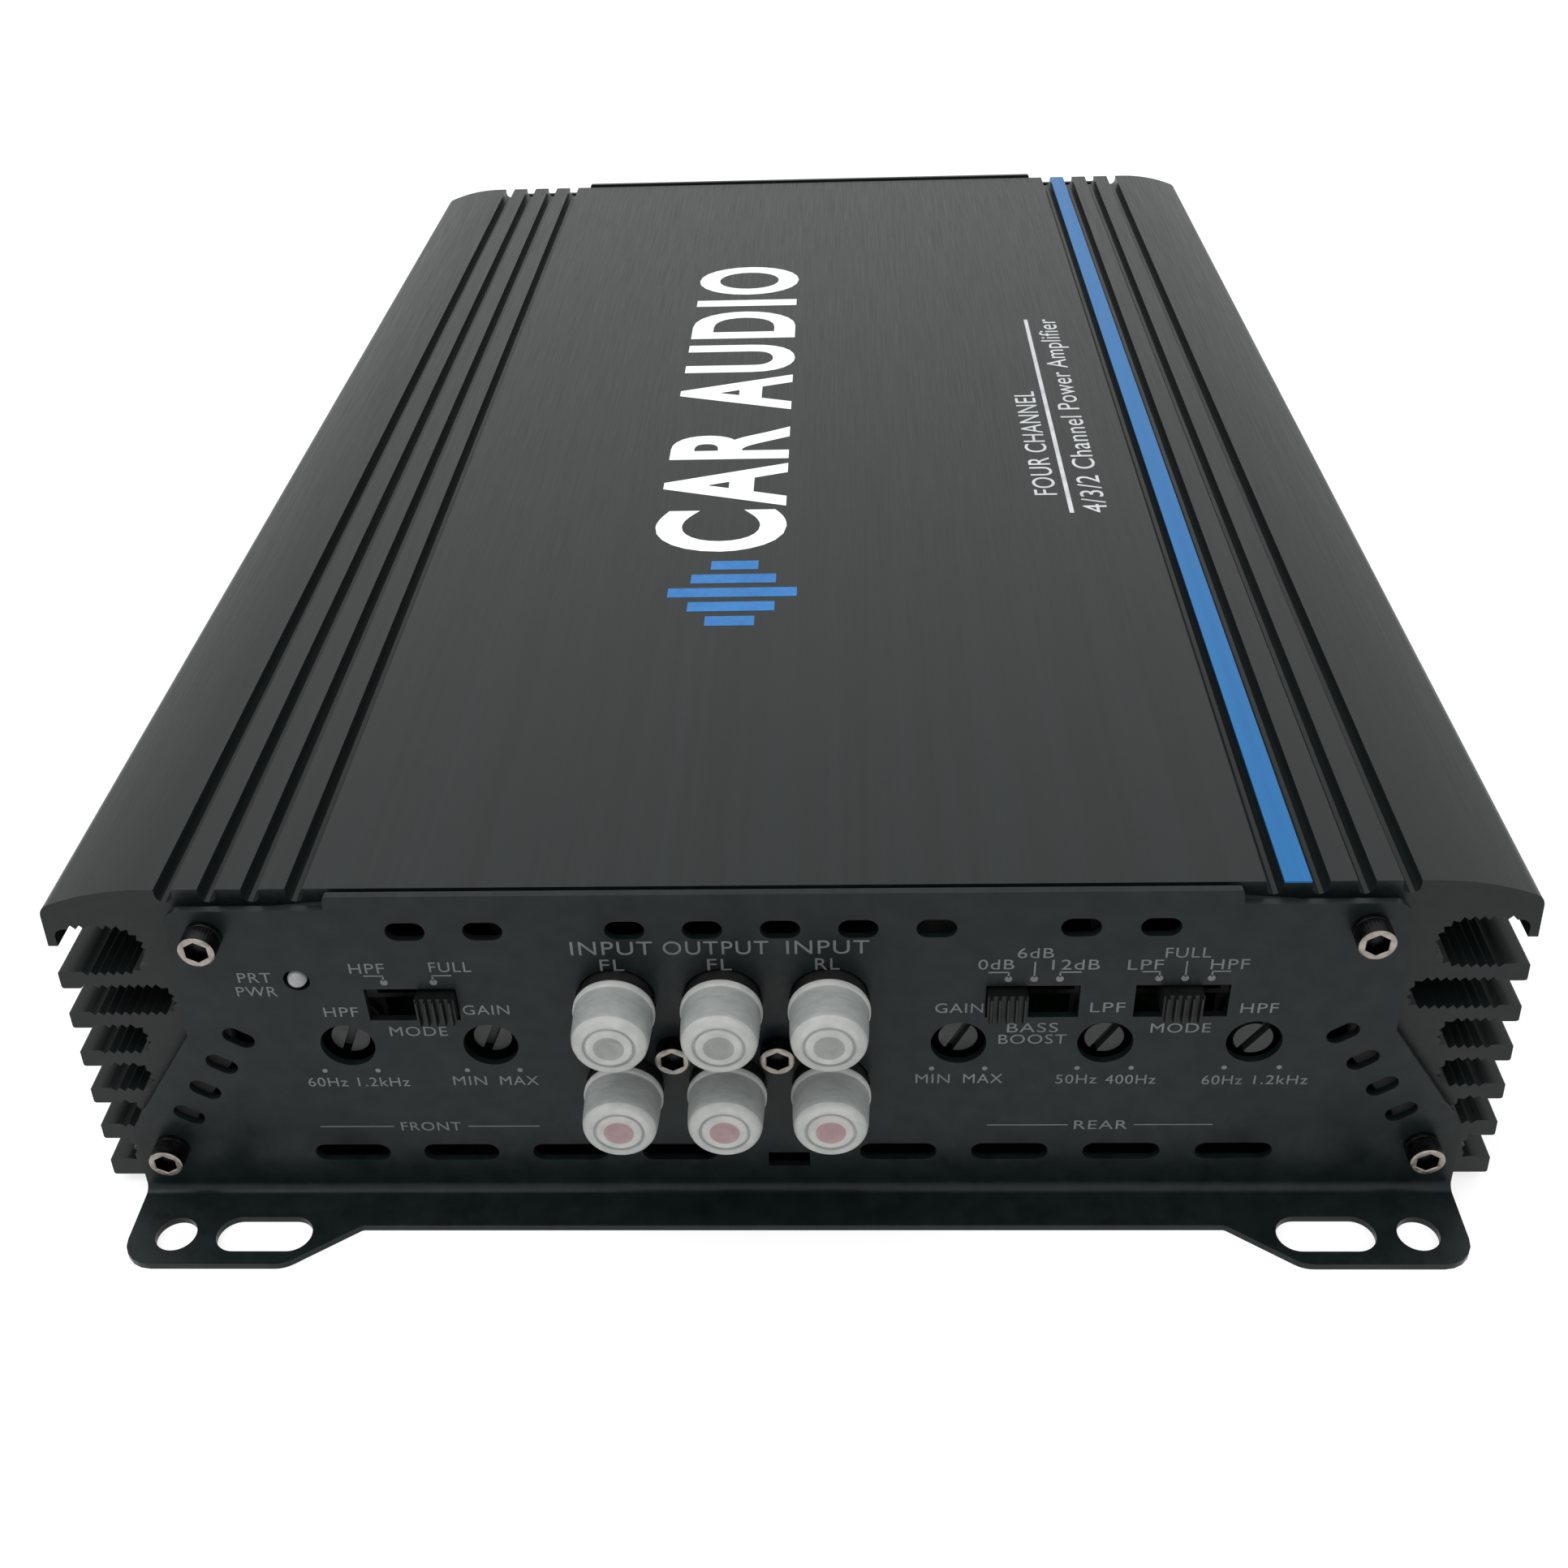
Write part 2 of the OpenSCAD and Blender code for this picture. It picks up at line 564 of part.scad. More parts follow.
module level_shaft(i) color("#1c1d1e") translate([control_x[i], 0, shaft_z]) difference() {
    rod_y(shaft_d, front_y + shaft_depth[i], control_board_y - 1.2 - fit, 0, 0);
    rotate([0, minimum_angle[i], 0])
        box([-0.65, 0.65], [front_y - 1, front_y + shaft_depth[i] + 1.4], [-5, 5]);
}
module level_shaft_1() level_shaft(0);
module level_shaft_2() level_shaft(1);
module level_shaft_3() level_shaft(2);
module level_shaft_4() level_shaft(3);
module level_shaft_5() level_shaft(4);

module power_lamp() color("#e9edf2") translate([lamp_at[0], 0, lamp_at[1]]) {
    translate([0, front_y + 0.6, 0]) sphere(d = lamp_d);
    rod_y(lamp_d, front_y + 0.6, control_board_y, 0, 0);
    rod_y(lamp_d + 0.8, control_board_y - 1.5, control_board_y, 0, 0);
}

module control_board(x) color("#1f5a3a")
    box(x, [control_board_y, control_board_y + board_t], [board_top, lamp_at[1] + 3]);
module control_board_left() control_board([lamp_at[0] - 4.5, jack_x - jack_block_half - 4]);
module control_board_right() control_board([jack_x + jack_block_half + 4, control_x[4] + 8]);

module main_board() color("#1f5a3a") difference() {
    box([-board_half, board_half], [board_front, board_rear], [board_top - board_t, board_top]);
    for (side = [-1, 1], y = standoff_y) translate([side * standoff_x, y, 0])
        cylinder(d = screw_d + 2 * screw_fit, h = 40);
}

module board_standoffs() color("#b08a3e") for (side = [-1, 1], y = standoff_y)
    translate([side * standoff_x, y, case_base]) difference() {
        cylinder(d = 5.5 / cos(30), h = board_top - board_t - case_base, $fn = 6);
        translate([0, 0, 4]) cylinder(d = screw_d + 2 * screw_fit, h = 40);
    }

module board_screws() color("#c2c5c7") for (side = [-1, 1], y = standoff_y)
    translate([side * standoff_x, y, board_top]) rotate([180, 0, 0]) difference() {
        union() {
            translate([0, 0, -2]) cylinder(d = 5.6, h = 2);
            cylinder(d = screw_d, h = board_t + 5);
        }
        for (turn = [0, 90]) rotate(turn) translate([-1.6, -0.35, -3]) cube([3.2, 0.7, 2]);
    }

transformer_at = [-28, -70];
transformer_r = 32;
module power_transformer() color("#9a6a34") translate([transformer_at[0], transformer_at[1], board_top])
    rotate_extrude($fn = 64) polygon(rounded([
        [12, 0, 4], [transformer_r, 0, 6], [transformer_r, 27, 6], [12, 27, 4]], 4));

module filter_choke() color("#8a7a2c") translate([52, 92, board_top])
    rotate_extrude() polygon(rounded([[6, 0, 3], [17, 0, 4], [17, 15, 4], [6, 15, 3]], 4));

capacitor_d = 22;
capacitor_h = 33;
module filter_capacitors() color("#22263a") for (i = [0:3], row = [0, 1])
    translate([-54 + 26 * i, row == 0 ? 4 : 32, board_top]) difference() {
        cylinder(d = capacitor_d, h = capacitor_h);
        for (turn = [0, 90]) rotate(turn)
            translate([-7, -0.3, capacitor_h - 0.5]) cube([14, 0.6, 2]);
    }

module at_transistors() for (side = [-1, 1], i = [0:transistor_count - 1])
    translate([side * cavity_x, (i - (transistor_count - 1) / 2) * transistor_pitch, transistor_z])
        mirror([side > 0 ? 0 : 1, 0, 0]) children();

module power_transistors() color("#1d1f20") at_transistors() {
    box([-pad_t - transistor[2], -pad_t], [-transistor[0] / 2, transistor[0] / 2], [0, transistor[1]]);
    for (leg = [-1:1]) translate([-pad_t - 2.6, leg * 2.54, board_top - transistor_z])
        box([-0.3, 0.3], [-0.4, 0.4], [0, transistor_z - board_top + 0.5]);
}

module insulating_pads() color("#b9b6a8") at_transistors()
    box([-pad_t, 0], [-transistor[0] / 2 - 0.8, transistor[0] / 2 + 0.8], [-0.8, transistor[1] + 0.4]);

clamp_back = cavity_x - pad_t - transistor[2];
clamp_half = 3.85 * transistor_pitch;
module transistor_clamps() color("#8f9494") for (side = [-1, 1]) difference() {
    box(side > 0 ? [clamp_back - clamp_t, clamp_back] : [-clamp_back, clamp_t - clamp_back],
        [-clamp_half, clamp_half], [clamp_z - clamp_h / 2, clamp_z + clamp_h / 2]);
    for (y = clamp_screw_y) translate([side * (clamp_back - clamp_t - 1), y, clamp_z])
        rotate([0, side * 90, 0]) cylinder(d = screw_d + 2 * screw_fit, h = clamp_t + 2);
}

module clamp_screws() color("#c2c5c7") for (side = [-1, 1], y = clamp_screw_y)
    translate([side * (clamp_back - clamp_t), y, clamp_z]) rotate([0, side * 90, 0])
        socket_screw(clamp_t + transistor[2] + pad_t + 4);

// metal contacts of a terminal block: drawn with their wire openings facing +Y
function contact_half(bore) = bore / 2 + 2.2;
power_driver_d = 5.4;
speaker_driver_d = 3.2;

module contact(x, z, bore, top, driver) difference() {
    box([x - contact_half(bore), x + contact_half(bore)], [contact_rear - contact_len, contact_rear],
        [z - bore / 2 - 1.6, top]);
    rod_y(bore, contact_rear - contact_len + 2, contact_rear + 1, x, z);
    translate([x, contact_rear - 5, z]) cylinder(d = driver, h = 30);
}

module pocket(x, z, bore, top, driver) {
    box([x - contact_half(bore), x + contact_half(bore)], [contact_rear - contact_len, terminal_rear + 1],
        [z - bore / 2 - 1.6, top]);
    translate([x, contact_rear - 5, z]) cylinder(d = driver + 1, h = 60);
}

power_contact_top = power_z + power_bore_d / 2 + 5;
speaker_contact_top = speaker_z + speaker_bore_d / 2 + 3.4;
function speaker_x(i) = speaker_first_x + i * speaker_pitch;
speaker_contact_half = speaker_bore_d / 2 + 1.3;

module power_terminal_block() color("#17181a") difference() {
    box(power_block, [terminal_front, terminal_rear], [board_top, power_block_top]);
    for (i = [0:2]) pocket(power_x[i], power_z, power_bores[i], power_contact_top, power_driver_d);
}

module power_terminal_contacts() color("#c8a558") for (i = [0:2])
    contact(power_x[i], power_z, power_bores[i], power_contact_top, power_driver_d);

module speaker_terminal_block() color("#17181a") difference() {
    box(speaker_block, [terminal_front, terminal_rear], [board_top, speaker_block_top]);
    for (i = [0:speaker_count - 1]) {
        box([speaker_x(i) - speaker_contact_half, speaker_x(i) + speaker_contact_half],
            [contact_rear - contact_len, terminal_rear + 1],
            [speaker_z - speaker_bore_d / 2 - 1.4, speaker_contact_top]);
        translate([speaker_x(i), contact_rear - 4, speaker_z])
            cylinder(d = speaker_driver_d + 0.8, h = 60);
    }
}

module speaker_terminal_contacts() color("#c8a558") for (i = [0:speaker_count - 1]) difference() {
    box([speaker_x(i) - speaker_contact_half, speaker_x(i) + speaker_contact_half],
        [contact_rear - contact_len, contact_rear],
        [speaker_z - speaker_bore_d / 2 - 1.4, speaker_contact_top]);
    rod_y(speaker_bore_d, contact_rear - contact_len + 2, contact_rear + 1, speaker_x(i), speaker_z);
    translate([speaker_x(i), contact_rear - 4, speaker_z]) cylinder(d = speaker_driver_d, h = 30);
}

// a set screw standing above a wire opening, with a driver socket in its top
module set_screw(d, top, bottom, y, x) translate([x, y, bottom]) difference() {
    cylinder(d = d, h = top - bottom);
    translate([0, 0, top - bottom - 2]) cylinder(d = d * 0.55, h = 3, $fn = 6);
}

module terminal_screws() color("#c2c5c7") {
    for (i = [0:2]) set_screw(power_driver_d - 2 * screw_fit, power_contact_top,
        power_z + power_bores[i] / 2 + 0.3, contact_rear - 5, power_x[i]);
    for (i = [0:speaker_count - 1]) set_screw(speaker_driver_d - 2 * screw_fit, speaker_contact_top,
        speaker_z + speaker_bore_d / 2 + 0.3, contact_rear - 4, speaker_x(i));
}

fuse_face = rear_y + 2.5;             // rear face of the fuse holder, where the fuses sit
blade = [5.2, 10, 0.8];
blade_x = 5.6;

module fuse_holder() color("#1a1b1d") difference() {
    box([fuse_x - fuse_holder_half, fuse_x + fuse_holder_half], [terminal_front, fuse_face],
        [board_top, fuse_holder_top]);
    for (z = fuse_z, side = [-1, 1]) translate([fuse_x + side * blade_x, 0, z])
        box([-blade[0] / 2 - fit, blade[0] / 2 + fit], [fuse_face - blade[1] - fit, fuse_face + 1],
            [-blade[2] / 2 - fit, blade[2] / 2 + fit]);
}

module fuse(z) translate([fuse_x, fuse_face, z]) {
    color("#3f9a55") box([-fuse_size[0] / 2, fuse_size[0] / 2], [fit, fuse_size[1]],
                         [-fuse_size[2] / 2, fuse_size[2] / 2]);
    color("#c2c5c7") for (side = [-1, 1]) translate([side * blade_x, 0, 0])
        box([-blade[0] / 2, blade[0] / 2], [-blade[1], fit], [-blade[2] / 2, blade[2] / 2]);
}
module fuse_1() fuse(fuse_z[0]);
module fuse_2() fuse(fuse_z[1]);

heatsink_housing();
accent_stripe();
front_panel();
rear_panel();
bottom_cover();
panel_gaskets();
front_panel_screws();
rear_panel_screws();
screw_washers();
bottom_cover_screws();
jack_block();
jack_shells();
jack_insulators_upper();
jack_insulators_lower();
jack_contacts();
jack_block_screws();
dust_cap_1();
dust_cap_2();
dust_cap_3();
dust_cap_4();
dust_cap_5();
dust_cap_6();
switch_body_1();
switch_body_2();
switch_body_3();
switch_knob_1();
switch_knob_2();
switch_knob_3();
level_control_1();
level_control_2();
level_control_3();
level_control_4();
level_control_5();
level_shaft_1();
level_shaft_2();
level_shaft_3();
level_shaft_4();
level_shaft_5();
power_lamp();
control_board_left();
control_board_right();
main_board();
board_standoffs();
board_screws();
power_transformer();
filter_choke();
filter_capacitors();
power_transistors();
insulating_pads();
transistor_clamps();
clamp_screws();
power_terminal_block();
power_terminal_contacts();
speaker_terminal_block();
speaker_terminal_contacts();
terminal_screws();
fuse_holder();
fuse_1();
fuse_2();
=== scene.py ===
"""Looks for the four-channel car amplifier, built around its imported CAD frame."""

import json
import math

import bmesh
import bpy
from mathutils import Matrix, Vector


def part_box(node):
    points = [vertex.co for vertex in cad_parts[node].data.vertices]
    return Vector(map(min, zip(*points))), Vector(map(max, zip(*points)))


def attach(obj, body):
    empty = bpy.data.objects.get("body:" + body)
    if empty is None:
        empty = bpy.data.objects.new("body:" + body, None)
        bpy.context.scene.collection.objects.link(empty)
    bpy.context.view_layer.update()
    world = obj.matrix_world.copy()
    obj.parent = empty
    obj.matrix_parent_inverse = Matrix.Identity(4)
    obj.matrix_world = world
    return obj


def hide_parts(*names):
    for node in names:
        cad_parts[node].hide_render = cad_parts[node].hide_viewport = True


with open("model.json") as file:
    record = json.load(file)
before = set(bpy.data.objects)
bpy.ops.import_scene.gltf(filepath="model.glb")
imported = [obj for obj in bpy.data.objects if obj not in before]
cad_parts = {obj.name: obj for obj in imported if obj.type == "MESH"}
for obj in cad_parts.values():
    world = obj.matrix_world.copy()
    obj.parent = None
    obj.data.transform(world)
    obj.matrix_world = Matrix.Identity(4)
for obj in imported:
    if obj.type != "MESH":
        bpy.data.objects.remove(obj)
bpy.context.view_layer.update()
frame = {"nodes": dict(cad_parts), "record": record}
nodes = frame["nodes"]
body_of = {node: body for body, members in frame["record"]["behaviour"]["bodies"].items() for node in members}

MM = 0.001
EAR_REACH = 15.7 * MM
front_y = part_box("front_panel")[0].y + EAR_REACH      # outer face of the front panel
rear_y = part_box("rear_panel")[1].y - EAR_REACH
top_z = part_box("heatsink_housing")[1].z
CLEAR = 0.02 * MM                                     # how far printing stands off a surface


# ---------------------------------------------------------------- camera, floor and light

def make_camera():
    """The photograph's viewpoint, solved from the straight edges of the case."""
    forward = Vector((-0.0371, 0.8104, -0.5848)).normalized()
    up = Vector((0.0098, 0.5854, 0.8107))
    right = forward.cross(up).normalized()
    up = right.cross(forward)
    camera = bpy.data.objects.new("camera", bpy.data.cameras.new("camera"))
    camera.matrix_world = Matrix((
        (right.x, up.x, -forward.x, 0.01012),
        (right.y, up.y, -forward.y, -0.36158),
        (right.z, up.z, -forward.z, 0.22103),
        (0, 0, 0, 1)))
    camera.data.lens = 39.626
    camera.data.sensor_width = 36
    camera.data.clip_start = 0.01
    camera.data.clip_end = 100
    bpy.context.scene.collection.objects.link(camera)
    bpy.context.scene.camera = camera


def make_world():
    """White light from all round, stronger from overhead."""
    world = bpy.data.worlds.new("studio")
    world.use_nodes = True
    bpy.context.scene.world = world
    tree = world.node_tree
    background = tree.nodes["Background"]
    coords = tree.nodes.new("ShaderNodeTexCoord")
    split = tree.nodes.new("ShaderNodeSeparateXYZ")
    ramp = tree.nodes.new("ShaderNodeMapRange")
    ramp.inputs["From Min"].default_value = 0.1
    ramp.inputs["From Max"].default_value = 0.75
    ramp.inputs["To Min"].default_value = 0.8
    ramp.inputs["To Max"].default_value = 1.45
    tree.links.new(coords.outputs["Generated"], split.inputs[0])
    tree.links.new(split.outputs["Z"], ramp.inputs["Value"])
    tree.links.new(ramp.outputs["Result"], background.inputs["Strength"])
    background.inputs["Color"].default_value = (1, 1, 1, 1)


def make_light(name, place, target, size, power):
    light = bpy.data.objects.new(name, bpy.data.lights.new(name, "AREA"))
    light.data.shape = "RECTANGLE"
    light.data.size = size[0]
    light.data.size_y = size[1]
    light.data.energy = power
    light.location = place
    light.rotation_euler = (Vector(target) - Vector(place)).to_track_quat("-Z", "Y").to_euler()
    bpy.context.scene.collection.objects.link(light)


def make_floor():
    mesh = bpy.data.meshes.new("floor")
    size = 8.0
    mesh.from_pydata([(-size, -size, 0), (size, -size, 0), (size, size, 0), (-size, size, 0)], [],
                     [(0, 1, 2, 3)])
    floor = bpy.data.objects.new("floor", mesh)
    bpy.context.scene.collection.objects.link(floor)
    surface = Finish("floor_white", (0.32, 0.32, 0.32), roughness=0.9)
    surface.shader.inputs["Emission Color"].default_value = (1, 1, 1, 1)
    surface.shader.inputs["Emission Strength"].default_value = 0.72
    surface.shader.inputs["Specular IOR Level"].default_value = 0
    mesh.materials.append(surface.material)


# ---------------------------------------------------------------- materials

class Finish:
    """A procedural material built up in steps on one Principled shader, in the row frame's metres."""

    def __init__(self, name, colour, metallic=0.0, roughness=0.5, specular=0.5):
        self.material = bpy.data.materials.new(name)
        self.material.use_nodes = True
        self.tree = self.material.node_tree
        self.shader = self.tree.nodes["Principled BSDF"]
        self.shader.inputs["Base Color"].default_value = (*colour, 1)
        self.shader.inputs["Metallic"].default_value = metallic
        self.shader.inputs["Roughness"].default_value = roughness
        self.shader.inputs["Specular IOR Level"].default_value = specular
        self.coords = self.tree.nodes.new("ShaderNodeTexCoord")
        self.normal = None

    def noise(self, scale, stretch=(1, 1, 1), detail=3, rough=0.55):
        mapping = self.tree.nodes.new("ShaderNodeMapping")
        mapping.inputs["Scale"].default_value = stretch
        noise = self.tree.nodes.new("ShaderNodeTexNoise")
        noise.inputs["Scale"].default_value = scale
        noise.inputs["Detail"].default_value = detail
        noise.inputs["Roughness"].default_value = rough
        self.tree.links.new(self.coords.outputs["Object"], mapping.inputs["Vector"])
        self.tree.links.new(mapping.outputs["Vector"], noise.inputs["Vector"])
        return noise.outputs["Fac"]

    def spread(self, value, low, high):
        """Maps the middle of a noise to a range of numbers."""
        node = self.tree.nodes.new("ShaderNodeMapRange")
        node.inputs["From Min"].default_value = 0.3
        node.inputs["From Max"].default_value = 0.7
        node.inputs["To Min"].default_value = low
        node.inputs["To Max"].default_value = high
        self.tree.links.new(value, node.inputs["Value"])
        return node.outputs["Result"]

    def colour(self, value, low, high):
        """Varies the base colour between two colours by a noise."""
        ramp = self.tree.nodes.new("ShaderNodeValToRGB")
        ramp.color_ramp.elements[0].position = 0.3
        ramp.color_ramp.elements[0].color = (*low, 1)
        ramp.color_ramp.elements[1].position = 0.7
        ramp.color_ramp.elements[1].color = (*high, 1)
        self.tree.links.new(value, ramp.inputs["Fac"])
        self.tree.links.new(ramp.outputs["Color"], self.shader.inputs["Base Color"])
        return self

    def roughness(self, value, low, high):
        self.tree.links.new(self.spread(value, low, high), self.shader.inputs["Roughness"])
        return self

    def bump(self, value, depth, strength=1.0):
        """Adds a bump whose full height is depth millimetres, on top of any earlier one."""
        node = self.tree.nodes.new("ShaderNodeBump")
        node.inputs["Distance"].default_value = depth * MM
        node.inputs["Strength"].default_value = strength
        self.tree.links.new(value, node.inputs["Height"])
        if self.normal is not None:
            self.tree.links.new(self.normal, node.inputs["Normal"])
        self.normal = node.outputs["Normal"]
        self.tree.links.new(self.normal, self.shader.inputs["Normal"])
        return self

    def set(self, **values):
        """Sets the shader's own sockets; an underscore in a name stands for a space."""
        for key, value in values.items():
            self.shader.inputs[key.replace("_", " ")].default_value = value
        return self


def anodised(name, dark, light, grain, specular=0.4):
    """Brushed and dyed aluminium: fine lines along the extrusion, with slow changes of shade."""
    finish = Finish(name, light, 0, 0.38, specular)
    fine = finish.noise(3200, grain, 4, 0.7)
    coarse = finish.noise(500, grain, 3, 0.6)
    mix = finish.tree.nodes.new("ShaderNodeMix")
    mix.inputs["Factor"].default_value = 0.4
    finish.tree.links.new(fine, mix.inputs["A"])
    finish.tree.links.new(coarse, mix.inputs["B"])
    finish.colour(mix.outputs["Result"], dark, light)
    finish.roughness(fine, 0.28, 0.46)
    finish.bump(fine, 0.004, 0.5)
    return finish.material


def powder_coat(name, dark, light, specular=0.38):
    """Satin powder coat: a fine orange peel with slight changes of gloss."""
    finish = Finish(name, light, 0, 0.36, specular)
    finish.colour(finish.noise(260, detail=5), dark, light)
    finish.roughness(finish.noise(900), 0.3, 0.42)
    finish.bump(finish.noise(2600, detail=2), 0.006, 0.6)
    finish.bump(finish.noise(500, detail=1), 0.01, 0.35)
    return finish.material


def metal(name, dark, light, rough=(0.18, 0.34), grain=(1, 1, 1), depth=0.003):
    finish = Finish(name, light, 1, rough[0], 0.5)
    finish.colour(finish.noise(700, grain, 5), dark, light)
    finish.roughness(finish.noise(1400, grain), *rough)
    finish.bump(finish.noise(3000, grain, 2), depth, 0.5)
    return finish.material


def plastic(name, dark, light, rough=(0.34, 0.5), depth=0.006, scale=2400, specular=0.4):
    """Moulded plastic: spark-eroded texture with slight changes of shade."""
    finish = Finish(name, light, 0, rough[0], specular)
    finish.colour(finish.noise(180, detail=5), dark, light)
    finish.roughness(finish.noise(700), *rough)
    finish.bump(finish.noise(scale, detail=2), depth, 0.6)
    return finish.material


def milky(name, dark, light):
    """Cloudy polyethylene; its two colours already carry the tint of what lies behind it, as painted shade
    and painted show-through.
    """
    finish = Finish(name, light, 0, 0.36, 0.5)
    finish.colour(finish.noise(420, (1, 3, 1), 5), dark, light)
    finish.roughness(finish.noise(800), 0.3, 0.48)
    finish.bump(finish.noise(900, (0.4, 4, 0.4), 3), 0.02, 0.5)
    finish.set(Transmission_Weight=0.58, IOR=1.3)
    return finish.material


def clear_lamp():
    finish = Finish("lamp_clear", (0.4, 0.41, 0.42), 0, 0.2, 0.5)
    finish.colour(finish.noise(500), (0.30, 0.31, 0.32), (0.44, 0.45, 0.46))
    finish.bump(finish.noise(700, detail=1), 0.01, 0.4)
    finish.set(Transmission_Weight=0.35, IOR=1.45)
    return finish.material


def circuit_board():
    """Green solder mask with copper tracks under it, both darkened near black as painted shade for the inside
    of the closed case.
    """
    finish = Finish("board_green", (0.02, 0.12, 0.05), 0, 0.3, 0.15)
    mapping = finish.tree.nodes.new("ShaderNodeMapping")
    brick = finish.tree.nodes.new("ShaderNodeTexVoronoi")
    brick.distance = "CHEBYCHEV"
    brick.feature = "DISTANCE_TO_EDGE"
    brick.inputs["Scale"].default_value = 160
    finish.tree.links.new(finish.coords.outputs["Object"], mapping.inputs["Vector"])
    finish.tree.links.new(mapping.outputs["Vector"], brick.inputs["Vector"])
    ramp = finish.tree.nodes.new("ShaderNodeValToRGB")
    ramp.color_ramp.interpolation = "CONSTANT"
    # Both greens are painted shade, far darker than the mask's own green.
    ramp.color_ramp.elements[0].color = (0.010, 0.045, 0.018, 1)
    ramp.color_ramp.elements[1].position = 0.07
    ramp.color_ramp.elements[1].color = (0.004, 0.022, 0.009, 1)
    finish.tree.links.new(brick.outputs["Distance"], ramp.inputs["Fac"])
    finish.tree.links.new(ramp.outputs["Color"], finish.shader.inputs["Base Color"])
    finish.bump(brick.outputs["Distance"], 0.02, 0.3)
    return finish.material


def wound_copper(name, dark, light):
    """Enamelled wire laid in turns."""
    finish = Finish(name, light, 0.7, 0.3, 0.5)
    finish.colour(finish.noise(60, (1, 1, 6), 6), dark, light)
    finish.bump(finish.noise(900, (1, 1, 0.2), 2), 0.15, 0.8)
    return finish.material


